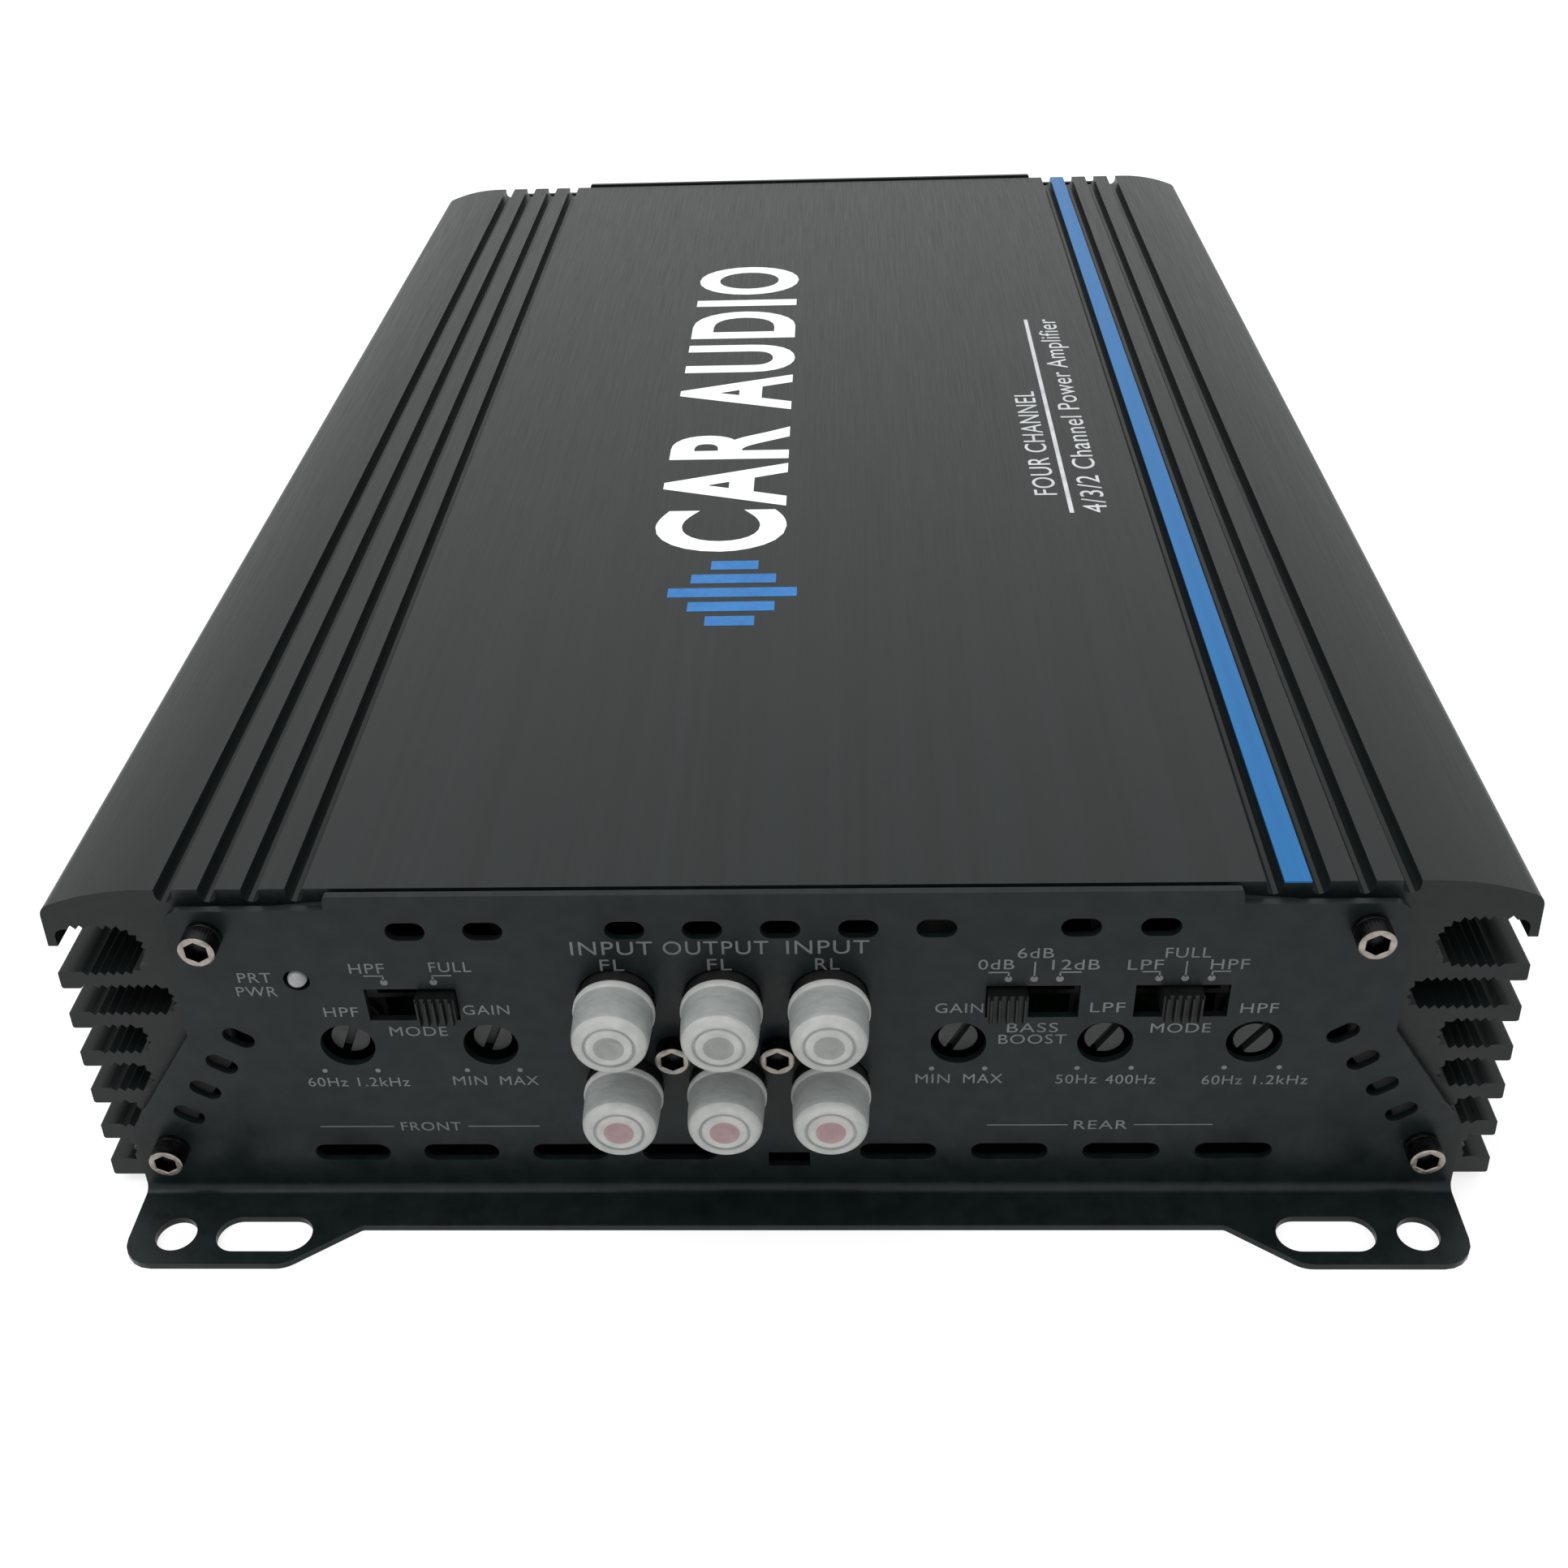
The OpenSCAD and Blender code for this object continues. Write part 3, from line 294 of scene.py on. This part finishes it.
def make_materials():
    black = dict(dark=(0.003, 0.0056, 0.0056), light=(0.007, 0.0112, 0.0112), specular=0.19)
    finishes = {
        "black_anodised": anodised("black_anodised", (0.003, 0.0048, 0.0046), (0.0085, 0.0125, 0.012),
                                   (1, 0.012, 1), 0.22),
        "blue_strip": anodised("blue_strip", (0.003, 0.09, 0.26), (0.005, 0.122, 0.32), (1, 0.02, 1), 0.22),
        "panel_black": powder_coat("panel_black", **black),
        "cover_black": powder_coat("cover_black", (0.006, 0.007, 0.007), (0.013, 0.014, 0.014)),
        "screw_nickel": metal("screw_nickel", (0.20, 0.18, 0.16), (0.38, 0.345, 0.31), (0.26, 0.42)),
        "screw_black": metal("screw_black", (0.010, 0.010, 0.011), (0.03, 0.03, 0.032), (0.3, 0.5)),
        "gasket_black": plastic("gasket_black", (0.002, 0.002, 0.002), (0.005, 0.005, 0.005), (0.8, 0.95)),
        "jack_plastic": plastic("jack_plastic", (0.004, 0.004, 0.0045), (0.010, 0.010, 0.011)),
        "jack_metal": metal("jack_metal", (0.46, 0.45, 0.42), (0.70, 0.68, 0.62), (0.24, 0.36), depth=0.0004),
        "jack_white": plastic("jack_white", (0.62, 0.61, 0.58), (0.78, 0.77, 0.74)),
        "jack_red": plastic("jack_red", (0.32, 0.014, 0.02), (0.48, 0.025, 0.03)),
        "brass": metal("brass", (0.48, 0.34, 0.13), (0.70, 0.52, 0.22), (0.2, 0.36)),
        "cap_milky": milky("cap_milky", (0.58, 0.60, 0.59), (0.76, 0.77, 0.74)),
        # The caps' wall, groove and dimple are darker copies of the milky plastic: painted shade, and on the
        # lower row's dimple the painted pink show-through of the red insulator behind.
        "cap_side_painted_shade": milky("cap_side_painted_shade", (0.38, 0.41, 0.41), (0.52, 0.545, 0.54)),
        "cap_middle_painted_shade": milky("cap_middle_painted_shade", (0.34, 0.35, 0.345), (0.46, 0.47, 0.46)),
        "cap_middle_painted_pink_show_through": milky("cap_middle_painted_pink_show_through", (0.42, 0.27, 0.28), (0.56, 0.40, 0.41)),
        # The switch bodies' steel is near black: painted shade for the inside of the case.
        "switch_steel": metal("switch_steel", (0.02, 0.02, 0.02), (0.05, 0.05, 0.05), (0.4, 0.6)),
        "knob_black": plastic("knob_black", (0.003, 0.0035, 0.0035), (0.008, 0.009, 0.009), (0.3, 0.42),
                              specular=0.22),
        "control_plastic": plastic("control_plastic", (0.002, 0.002, 0.002), (0.006, 0.006, 0.006),
                                   (0.6, 0.8)),
        "shaft_black": plastic("shaft_black", (0.008, 0.009, 0.009), (0.02, 0.022, 0.022), (0.36, 0.5)),
        "lamp_clear": clear_lamp(),
        "board_green": circuit_board(),
        "steel_plated": metal("steel_plated", (0.45, 0.46, 0.47), (0.66, 0.67, 0.68), (0.2, 0.36)),
        "winding_copper": wound_copper("winding_copper", (0.24, 0.09, 0.03), (0.52, 0.22, 0.08)),
        "choke_core": wound_copper("choke_core", (0.30, 0.20, 0.04), (0.55, 0.40, 0.10)),
        "capacitor_sleeve": plastic("capacitor_sleeve", (0.008, 0.009, 0.03), (0.016, 0.018, 0.05),
                                    (0.16, 0.26)),
        "transistor_epoxy": plastic("transistor_epoxy", (0.008, 0.008, 0.008), (0.02, 0.02, 0.02),
                                    (0.5, 0.7)),
        "pad_grey": plastic("pad_grey", (0.35, 0.34, 0.30), (0.48, 0.47, 0.42), (0.7, 0.85)),
        "clamp_aluminium": metal("clamp_aluminium", (0.40, 0.41, 0.42), (0.62, 0.63, 0.64), (0.24, 0.4),
                                 (1, 0.02, 1)),
        "terminal_plastic": plastic("terminal_plastic", (0.005, 0.005, 0.0055), (0.014, 0.014, 0.015)),
        "fuse_green": plastic("fuse_green", (0.02, 0.24, 0.06), (0.035, 0.34, 0.09), (0.12, 0.22), 0.003),
        "print_grey": plastic("print_grey", (0.085, 0.095, 0.10), (0.125, 0.135, 0.14), (0.5, 0.7), 0.002),
        "print_white": plastic("print_white", (0.66, 0.69, 0.69), (0.80, 0.82, 0.82), (0.4, 0.6), 0.002),
        "print_silver": plastic("print_silver", (0.36, 0.38, 0.39), (0.52, 0.54, 0.55), (0.3, 0.5), 0.002),
        "print_blue": plastic("print_blue", (0.003, 0.11, 0.33), (0.006, 0.14, 0.40), (0.4, 0.6), 0.002),
    }
    fuse = finishes["fuse_green"].node_tree.nodes["Principled BSDF"]
    fuse.inputs["Transmission Weight"].default_value = 0.3
    return finishes


# ---------------------------------------------------------------- mesh helpers

def finish_mesh(name, bm, slots, body, smooth_angle=32):
    """Turns a bmesh into a piece with its materials, sharp edges marked, riding on a body."""
    bmesh.ops.recalc_face_normals(bm, faces=bm.faces)
    mesh = bpy.data.meshes.new(name)
    for face in bm.faces:
        face.smooth = True
    bm.to_mesh(mesh)
    bm.free()
    mesh.set_sharp_from_angle(angle=math.radians(smooth_angle))
    for slot in slots:
        mesh.materials.append(finishes[slot])
    piece = bpy.data.objects.new(name, mesh)
    bpy.context.scene.collection.objects.link(piece)
    shading = piece.modifiers.new("shading", "WEIGHTED_NORMAL")
    shading.keep_sharp = True
    shading.weight = 80
    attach(piece, body)
    return piece


def cad_copy(node):
    """A node's mesh as a bmesh, welded, with its flat faces made whole again."""
    bm = bmesh.new()
    bm.from_mesh(nodes[node].data)
    bmesh.ops.remove_doubles(bm, verts=bm.verts, dist=1e-6)
    bmesh.ops.dissolve_limit(bm, angle_limit=math.radians(0.4), verts=bm.verts, edges=bm.edges,
                             use_dissolve_boundaries=False)
    return bm


def rounded_piece(node, slot, width):
    """Stands for a CAD node with the same shape, its sharp edges broken by a radius of width mm."""
    bm = cad_copy(node)
    mesh = bpy.data.meshes.new(node + "_look")
    bm.to_mesh(mesh)
    bm.free()
    piece = bpy.data.objects.new(node + "_look", mesh)
    bpy.context.scene.collection.objects.link(piece)
    bevel = piece.modifiers.new("edges", "BEVEL")
    bevel.width = width * MM
    bevel.segments = 2
    bevel.limit_method = "ANGLE"
    bevel.angle_limit = math.radians(30)
    bevel.use_clamp_overlap = True
    made = bpy.data.meshes.new_from_object(piece.evaluated_get(bpy.context.evaluated_depsgraph_get()))
    bpy.data.objects.remove(piece)
    bm = bmesh.new()
    bm.from_mesh(made)
    bpy.data.meshes.remove(made)
    piece = finish_mesh(node + "_look", bm, [slot], body_of[node])
    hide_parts(node)
    return piece


def place(origin, axis):
    """Matrix that puts a shape drawn along +Z at origin, pointing along axis."""
    turn = Vector((0, 0, 1)).rotation_difference(Vector(axis)).to_matrix().to_4x4()
    return Matrix.Translation(origin) @ turn


def add_rings(bm, rings, matrix, kinds=None):
    """Joins rings of points, given in millimetres, into a skin; a ring of one point closes an end."""
    made = [[bm.verts.new(matrix @ (Vector(p) * MM)) for p in ring] for ring in rings]
    for row, (a, b) in enumerate(zip(made, made[1:])):
        count = max(len(a), len(b))
        for i in range(count if count > 1 else 0):
            j = (i + 1) % count
            corners = [a[0]] if len(a) == 1 else [a[i], a[j]]
            corners += [b[0]] if len(b) == 1 else [b[j], b[i]]
            face = bm.faces.new(corners)
            face.material_index = kinds[row] if kinds else 0


def circle(radius, z, count, wave=0.0):
    """Points of a ring; wave makes every second point dip, as on a knurl."""
    if radius == 0:
        return [(0, 0, z)]
    points = []
    for i in range(count):
        a = 2 * math.pi * i / count
        r = radius - (wave if i % 2 else 0)
        points.append((r * math.cos(a), r * math.sin(a), z))
    return points


def hexagon(across_flats, z, count):
    """A hexagon with as many points as the circles it joins."""
    points = []
    for i in range(count):
        a = 2 * math.pi * i / count
        r = across_flats / 2 / math.cos((a + math.pi / 6) % (math.pi / 3) - math.pi / 6)
        points.append((r * math.cos(a), r * math.sin(a), z))
    return points


def add_socket_screw(bm, origin, axis, shank, head, height, socket):
    """A knurled socket-head screw with a threaded shank, drawn with the head's underside at origin."""
    count = 72
    r = head / 2
    face_z = -height
    thread = []
    turns = int(shank / 0.5) - 1
    for i in range(turns):
        thread.append(circle(1.5, shank - 0.5 - 0.5 * i, count))
        thread.append(circle(1.24, shank - 0.75 - 0.5 * i, count))
    rings = [circle(0, shank, count), circle(1.2, shank, count)] + thread + [
        circle(1.45, 0, count), circle(r - 0.15, 0, count), circle(r, -0.15, count, 0.09),
        circle(r, face_z + 0.6, count, 0.09), circle(r - 0.02, face_z + 0.45, count),
        circle(r - 0.06, face_z + 0.2, count), circle(r - 0.3, face_z, count),
        hexagon(socket + 0.3, face_z, count), hexagon(socket, face_z + 0.15, count),
        hexagon(socket, face_z + 2.0, count), circle(0.7, face_z + 2.1, count),
        circle(0, face_z + 2.5, count)]
    # Only the front face, the inner part of its rounded edge and the socket's chamfer take the nickel finish.
    # The knurled side, the shank and the socket's inside take the black one, which inside the socket is
    # painted shade.
    bright = len(rings) - 7
    kinds = [1 if row < bright or row >= bright + 3 else 0 for row in range(len(rings) - 1)]
    add_rings(bm, rings, place(origin, axis), kinds)


def solids_of(node):
    """The separate solids of a CAD node, as (lowest corner, highest corner)."""
    bm = bmesh.new()
    bm.from_mesh(nodes[node].data)
    bmesh.ops.remove_doubles(bm, verts=bm.verts, dist=1e-6)
    left = set(bm.verts)
    found = []
    while left:
        todo = [left.pop()]
        island = list(todo)
        while todo:
            for edge in todo.pop().link_edges:
                for vert in edge.verts:
                    if vert in left:
                        left.discard(vert)
                        todo.append(vert)
                        island.append(vert)
        low = Vector(min(v.co[k] for v in island) for k in range(3))
        high = Vector(max(v.co[k] for v in island) for k in range(3))
        found.append((low, high))
    bm.free()
    return sorted(found, key=lambda box: tuple(box[0]))


# ---------------------------------------------------------------- case

def make_housing():
    """The extrusion with the saw-cut edges at both ends broken."""
    bm = cad_copy("heatsink_housing")
    low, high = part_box("heatsink_housing")
    ends = [e for e in bm.edges if len(e.link_faces) == 2
            and any(all(abs(v.co.y - y) < 1e-6 for v in e.verts) for y in (low.y, high.y))
            and e.calc_face_angle(0) > math.radians(60)]
    bmesh.ops.bevel(bm, geom=ends, offset=0.14 * MM, offset_type="OFFSET", segments=2, profile=0.5,
                    affect="EDGES", clamp_overlap=True)
    piece = finish_mesh("housing_look", bm, ["black_anodised"], "amplifier", 30)
    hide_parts("heatsink_housing")


def make_screws(node, axis, head, height, socket):
    """Socket-head screws in place of a node's, each on its own solid's centre line; sizes in mm."""
    bm = bmesh.new()
    out = Vector(axis)
    for low, high in solids_of(node):
        middle = (low + high) / 2
        length = (high.y - low.y) / MM
        tip = low.y if out.y > 0 else high.y
        under = tip + out.y * (length - height) * MM
        origin = Vector((middle.x, under, middle.z))
        add_socket_screw(bm, origin, -out, length - height, head, height, socket)
    piece = finish_mesh(node + "_look", bm, ["screw_nickel", "screw_black"], body_of[node], 30)
    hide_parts(node)


# ---------------------------------------------------------------- jacks and caps

# Half profile of a cap in mm, as (radius, height), from its rim round the outside to the bore
CAP = [(4.2, 0), (5.95, 0), (6.16, 0.12), (6.2, 0.3), (6.2, 0.9), (6.12, 1.12), (5.97, 1.25), (5.93, 1.6),
       (5.9, 3.2), (5.84, 5.0), (5.76, 6.4), (5.6, 7.2), (5.3, 7.75), (4.9, 8.08), (4.5, 8.22), (4.15, 8.2),
       (3.92, 8.08), (3.8, 7.9), (3.6, 7.88), (3.48, 8.04), (3.3, 8.2), (3.0, 8.28), (2.3, 8.26),
       (1.8, 8.16), (1.5, 8.0), (1.25, 7.9), (0.8, 7.87), (0, 7.87), (0, 7.3), (3.7, 7.3), (4.05, 7.2),
       (4.2, 6.9), (4.2, 0)]
WALL_ROWS = [6, 7, 8, 9, 10, 16, 17, 18]      # the wall and the groove in the end, in painted shade
CENTRE_ROWS = [22, 23, 24, 25, 26]            # the dimple in front of the jack's insulator: painted shade in the upper row, the painted pink show-through of the red insulator in the lower row


def make_cap(node):
    low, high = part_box(node)
    centre = (low + high) / 2
    origin = Vector((centre.x, high.y, centre.z))
    shell_low, shell_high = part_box("jack_shells")
    # The lower row's dimple gets the painted pink show-through of the red insulator, the upper row's gets
    # painted shade.
    centre_slot = "cap_middle_painted_pink_show_through" if centre.z < (shell_low.z + shell_high.z) / 2 else "cap_middle_painted_shade"
    kinds = [1 if row in WALL_ROWS else 2 if row in CENTRE_ROWS else 0 for row in range(len(CAP))]
    bm = bmesh.new()
    add_rings(bm, [circle(r, z, 96) for r, z in CAP], place(origin, (0, -1, 0)), kinds)
    bmesh.ops.remove_doubles(bm, verts=bm.verts, dist=1e-7)
    piece = finish_mesh(node + "_look", bm, ["cap_milky", "cap_side_painted_shade", centre_slot], body_of[node], 50)
    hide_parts(node)


def make_lamp():
    """A domed lamp with a flange at the board; the flange follows the CAD node's length."""
    low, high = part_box("power_lamp")
    centre = (low + high) / 2
    origin = Vector((centre.x, low.y, centre.z))
    dome = [(0, 0), (0.5, 0.09), (0.95, 0.34), (1.28, 0.73), (1.46, 1.18), (1.5, 1.6), (1.5, 12.9),
            (1.9, 13.0), (1.9, 14.3), (0, 14.3)]
    length = (high.y - low.y) / MM
    profile = [(r, z if z < 5 else length - (14.3 - z)) for r, z in dome]
    bm = bmesh.new()
    add_rings(bm, [circle(r, z, 64) for r, z in profile], place(origin, (0, 1, 0)))
    piece = finish_mesh("power_lamp_look", bm, ["lamp_clear"], "amplifier", 40)
    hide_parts("power_lamp")


# ---------------------------------------------------------------- switches

def make_knob(node):
    """A slide switch's knob: a finger grip of five ridges on a block that reaches into the switch."""
    low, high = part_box(node)
    centre = (low + high) / 2
    half_w = 3.0
    half_h = 2.4
    ridges = 5
    pitch = 1.26
    root = 1.0                  # depth of the ridges' roots behind the knob's front
    back = 10.6                 # depth of the block's back behind the knob's front
    edge = 0.18                 # rounding of the top and bottom edges
    foot_half_h = 3.1
    foot = (7.1, 8.1)           # the foot plate's front and back, behind the panel's face
    outline = [(-half_w, back), (-half_w, root)]
    for i in range(ridges):
        x = (i - (ridges - 1) / 2) * pitch
        outline += [(x - 0.28, 0.9), (x - 0.24, 0.2), (x - 0.15, 0.04), (x, 0.0), (x + 0.15, 0.04),
                    (x + 0.24, 0.2), (x + 0.28, 0.9)]
    outline += [(half_w, root), (half_w, back)]
    depth = (high.y - low.y) / MM
    bm = bmesh.new()
    levels = [(half_h, edge), (half_h - edge, 0), (-half_h + edge, 0), (-half_h, edge)]
    rings = []
    for z, inset in levels:
        rings.append([(x * (1 - inset / 6), min(y, depth - 0.1) + (inset if y < root else 0), z)
                      for x, y in outline])
    matrix = Matrix.Translation(Vector((centre.x, low.y, centre.z)))
    add_rings(bm, rings, matrix)
    for ring_z in (half_h, -half_h):
        loop = [v for v in bm.verts if abs(v.co.z - (centre.z + ring_z * MM)) < 1e-7]
        bm.faces.new(loop if ring_z < 0 else loop[::-1])
    add_box(bm, (low.x, front_y + foot[0] * MM, centre.z - foot_half_h * MM),
            (high.x, front_y + foot[1] * MM, centre.z + foot_half_h * MM))
    piece = finish_mesh(node + "_look", bm, ["knob_black"], body_of[node], 28)
    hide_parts(node)


def add_box(bm, low, high):
    """Adds a box between two corners."""
    made = bmesh.ops.create_cube(bm, size=1)["verts"]
    for vert in made:
        vert.co = Vector(low[k] if vert.co[k] < 0 else high[k] for k in range(3))


# ---------------------------------------------------------------- printing

def text_mesh(words, spacing, weight):
    """Flat letters in the built-in face; weight thickens the strokes."""
    curve = bpy.data.curves.new("words", "FONT")
    curve.body = words
    curve.size = 1
    curve.space_character = spacing
    curve.offset = weight
    curve.resolution_u = 6
    words_object = bpy.data.objects.new("words", curve)
    bpy.context.scene.collection.objects.link(words_object)
    bpy.context.view_layer.update()
    mesh = bpy.data.meshes.new_from_object(words_object.evaluated_get(bpy.context.evaluated_depsgraph_get()))
    bpy.data.objects.remove(words_object)
    bpy.data.curves.remove(curve)
    return mesh


class Printing:
    """Flat printing on one face. Right and up are the directions of the words on it, in the row frame."""

    def __init__(self, origin, right, up):
        self.bm = bmesh.new()
        self.origin = Vector(origin)
        self.right = Vector(right)
        self.up = Vector(up)
        self.out = self.right.cross(self.up)

    def point(self, x, y):
        return self.origin + (self.right * x + self.up * y) * MM + self.out * CLEAR

    def words(self, words, x, y, height, width, kind=0, spacing=1.1, weight=0.0):
        """Prints words centred on x, y, with capitals of that height and that width overall."""
        mesh = text_mesh(words, spacing, weight)
        xs = [v.co.x for v in mesh.vertices]
        ys = [v.co.y for v in mesh.vertices]
        scale = height / (max(ys) - min(ys))
        wide = width / (max(xs) - min(xs))
        middle_x = (max(xs) + min(xs)) / 2
        middle_y = (max(ys) + min(ys)) / 2
        verts = []
        for v in mesh.vertices:
            across = x + (v.co.x - middle_x) * wide
            along = y + (v.co.y - middle_y) * scale
            verts.append(self.bm.verts.new(self.point(across, along)))
        for polygon in mesh.polygons:
            self.bm.faces.new([verts[i] for i in polygon.vertices]).material_index = kind
        bpy.data.meshes.remove(mesh)

    def bar(self, x0, y0, x1, y1, kind=0):
        verts = [self.bm.verts.new(self.point(x, y)) for x, y in ((x0, y0), (x1, y0), (x1, y1), (x0, y1))]
        self.bm.faces.new(verts).material_index = kind

    def dot(self, x, y, radius, kind=0):
        verts = []
        for i in range(20):
            a = 2 * math.pi * i / 20
            verts.append(self.bm.verts.new(self.point(x + radius * math.cos(a), y + radius * math.sin(a))))
        self.bm.faces.new(verts).material_index = kind

    def finish(self, name, slots):
        """Gives the ink its thickness and makes it one piece on the amplifier."""
        flat = list(self.bm.faces)
        made = bmesh.ops.extrude_face_region(self.bm, geom=flat)
        moved = [item for item in made["geom"] if isinstance(item, bmesh.types.BMVert)]
        bmesh.ops.translate(self.bm, verts=moved, vec=self.out * CLEAR)
        return finish_mesh(name, self.bm, slots, "amplifier", 30)


def make_front_printing():
    """The plain words, lines and dots beside the controls and jacks."""
    ink = Printing((0, front_y, 0), (1, 0, 0), (0, 0, 1))
    for words, x, z, width in (
            ("PRT", -79.4, 48.0, 5.1), ("PWR", -79.6, 45.2, 6.2), ("HPF", -62.1, 49.7, 5.3),
            ("FULL", -49.5, 49.9, 6.3), ("HPF", -67.5, 40.9, 5.3), ("MODE", -56.2, 36.8, 8.9),
            ("GAIN", -45.2, 41.2, 7.1), ("60Hz", -72.3, 25.9, 6.3), ("1.2kHz", -63.4, 25.9, 8.2),
            ("MIN", -49.7, 26.1, 5.3), ("MAX", -41.9, 26.1, 6.1), ("0dB", 31.7, 49.8, 5.3),
            ("6dB", 37.4, 52.0, 5.3), ("12dB", 43.4, 49.7, 7.0), ("GAIN", 26.5, 41.1, 7.2),
            ("BASS", 37.7, 37.0, 7.7), ("BOOST", 37.8, 34.6, 10.3), ("LPF", 48.7, 41.1, 5.2),
            ("LPF", 53.6, 49.6, 5.2), ("FULL", 59.6, 51.9, 6.6), ("HPF", 65.9, 49.6, 5.6),
            ("MODE", 60.0, 36.8, 9.0), ("HPF", 71.3, 40.8, 5.6), ("MIN", 22.8, 26.2, 5.3),
            ("MAX", 30.6, 26.2, 6.1), ("50Hz", 45.0, 26.0, 6.3), ("400Hz", 53.4, 25.9, 7.8),
            ("60Hz", 67.5, 25.7, 6.2), ("1.2kHz", 76.5, 25.7, 8.3), ("FRONT", -57.4, 15.8, 9.7),
            ("REAR", 49.6, 15.8, 8.4)):
        ink.words(words, x, z, 1.95, width)
    for words, x, width in (("INPUT", -25.0, 12.2), ("OUTPUT", -9.6, 15.6), ("INPUT", 6.9, 12.2)):
        ink.words(words, x, 53.4, 2.6, width)
    for words, x in (("FL", -25.2), ("FL", -9.2), ("RL", 6.8)):
        ink.words(words, x, 50.1, 2.25, 3.6)
    for x0, x1 in ((-75.4, -63.4), (-51.4, -39.9), (31.6, 44.4), (54.8, 67.2)):
        ink.bar(x0, 15.7, x1, 15.9)
    for x in (-72.3, -63.9, -49.8, -41.5, 22.6, 30.8, 45.0, 53.3, 67.5, 75.9):
        ink.dot(x, 28.4, 0.42)
    for x, reach in ((-59.9, -2.9), (-52.4, 2.9), (33.6, -3.0), (41.2, 3.1), (55.8, -2.6), (63.5, 2.7)):
        ink.bar(x - 0.13, 47.2, x + 0.13, 48.2)
        ink.bar(min(x - 0.13, x + reach), 48.1, max(x + 0.13, x + reach), 48.35)
    for x in (37.4, 59.6):
        ink.bar(x - 0.13, 47.2, x + 0.13, 50.3)
    for x in (-59.9, -52.4, 33.6, 37.4, 41.2, 55.8, 59.6, 63.5):
        ink.dot(x, 46.9, 0.58)
    ink.finish("front_printing", ["print_grey"])


def make_top_printing():
    """Plain generic words and level bars where the top face is printed, running along the length."""
    ink = Printing((0, 0, top_z), (0, 1, 0), (-1, 0, 0))
    ink.words("CAR AUDIO", 14, 14.5, 26, 160, 0, 1.19, 0.032)
    for i, tall in enumerate((9, 16, 24, 16, 9)):
        y = -94 + 5.2 * i
        ink.bar(y, 11 - tall / 2, y + 3.4, 11 + tall / 2, 1)
    ink.words("4/3/2 Channel Power Amplifier", 0, -60.5, 6.2, 104, 2, 1.05)
    ink.words("FOUR CHANNEL", -18, -50.6, 4.6, 52, 2, 1.05)
    ink.bar(-52, -55.4, 52, -54.5, 2)
    ink.finish("top_printing", ["print_white", "print_blue", "print_silver"])


def make_rear_printing():
    """Plain words over the terminals and the fuses."""
    ink = Printing((0, rear_y, 0), (-1, 0, 0), (0, 0, 1))
    for words, x, width in (("GND", 67, 6.4), ("REM", 49, 6.4), ("+12V", 31, 7.4)):
        ink.words(words, x, 46.4, 2.3, width)
    ink.words("POWER", 49, 51.4, 2.5, 11)
    ink.words("FUSE", 3.5, 50.0, 2.3, 7.4)
    ink.words("SPEAKER OUTPUT", -47, 46.6, 2.5, 31)
    for i in range(8):
        x = -(19 + 8 * i)
        ink.bar(x - 0.8, 37.6, x + 0.8, 37.9)
        if i % 2:
            ink.bar(x - 0.15, 36.95, x + 0.15, 37.6)
            ink.bar(x - 0.15, 37.9, x + 0.15, 38.55)
    for i, words in enumerate(("FL", "FR", "RL", "RR")):
        ink.words(words, -(23 + 16 * i), 41.8, 2.2, 3.6)
    ink.finish("rear_printing", ["print_grey"])


# ---------------------------------------------------------------- all of it

def dress_nodes():
    """Gives every CAD node the finish of its material slot."""
    for name, node in nodes.items():
        node.data.materials.clear()
        node.data.materials.append(finishes[slot_of[name]])


def read_slots():
    return {entry["node"]: entry["material_slot"] for entry in frame["record"]["subparts"]}


bpy.context.scene.view_settings.view_transform = "Standard"
finishes = make_materials()
slot_of = read_slots()
make_camera()
make_world()
make_floor()
make_light("soft_box", (-0.5, -0.2, 0.9), (0, 0, 0), (0.5, 0.9), 3)
dress_nodes()
make_housing()
for node, slot, width in (
        ("front_panel", "panel_black", 0.16), ("rear_panel", "panel_black", 0.16),
        ("bottom_cover", "cover_black", 0.12), ("jack_block", "jack_plastic", 0.2),
        ("power_terminal_block", "terminal_plastic", 0.3),
        ("speaker_terminal_block", "terminal_plastic", 0.3),
        ("fuse_holder", "terminal_plastic", 0.3), ("screw_washers", "screw_black", 0.12)):
    rounded_piece(node, slot, width)
for i in range(1, 6):
    rounded_piece(f"level_shaft_{i}", "shaft_black", 0.1)
    rounded_piece(f"level_control_{i}", "control_plastic", 0.2)
for node, facing in (("front_panel_screws", -1), ("rear_panel_screws", 1), ("jack_block_screws", -1)):
    make_screws(node, (0, facing, 0), head=5.5, height=3.0, socket=3.3)
for i in range(1, 7):
    make_cap(f"dust_cap_{i}")
for i in range(1, 4):
    make_knob(f"switch_knob_{i}")
make_lamp()
make_front_printing()
make_top_printing()
make_rear_printing()
bpy.context.view_layer.update()
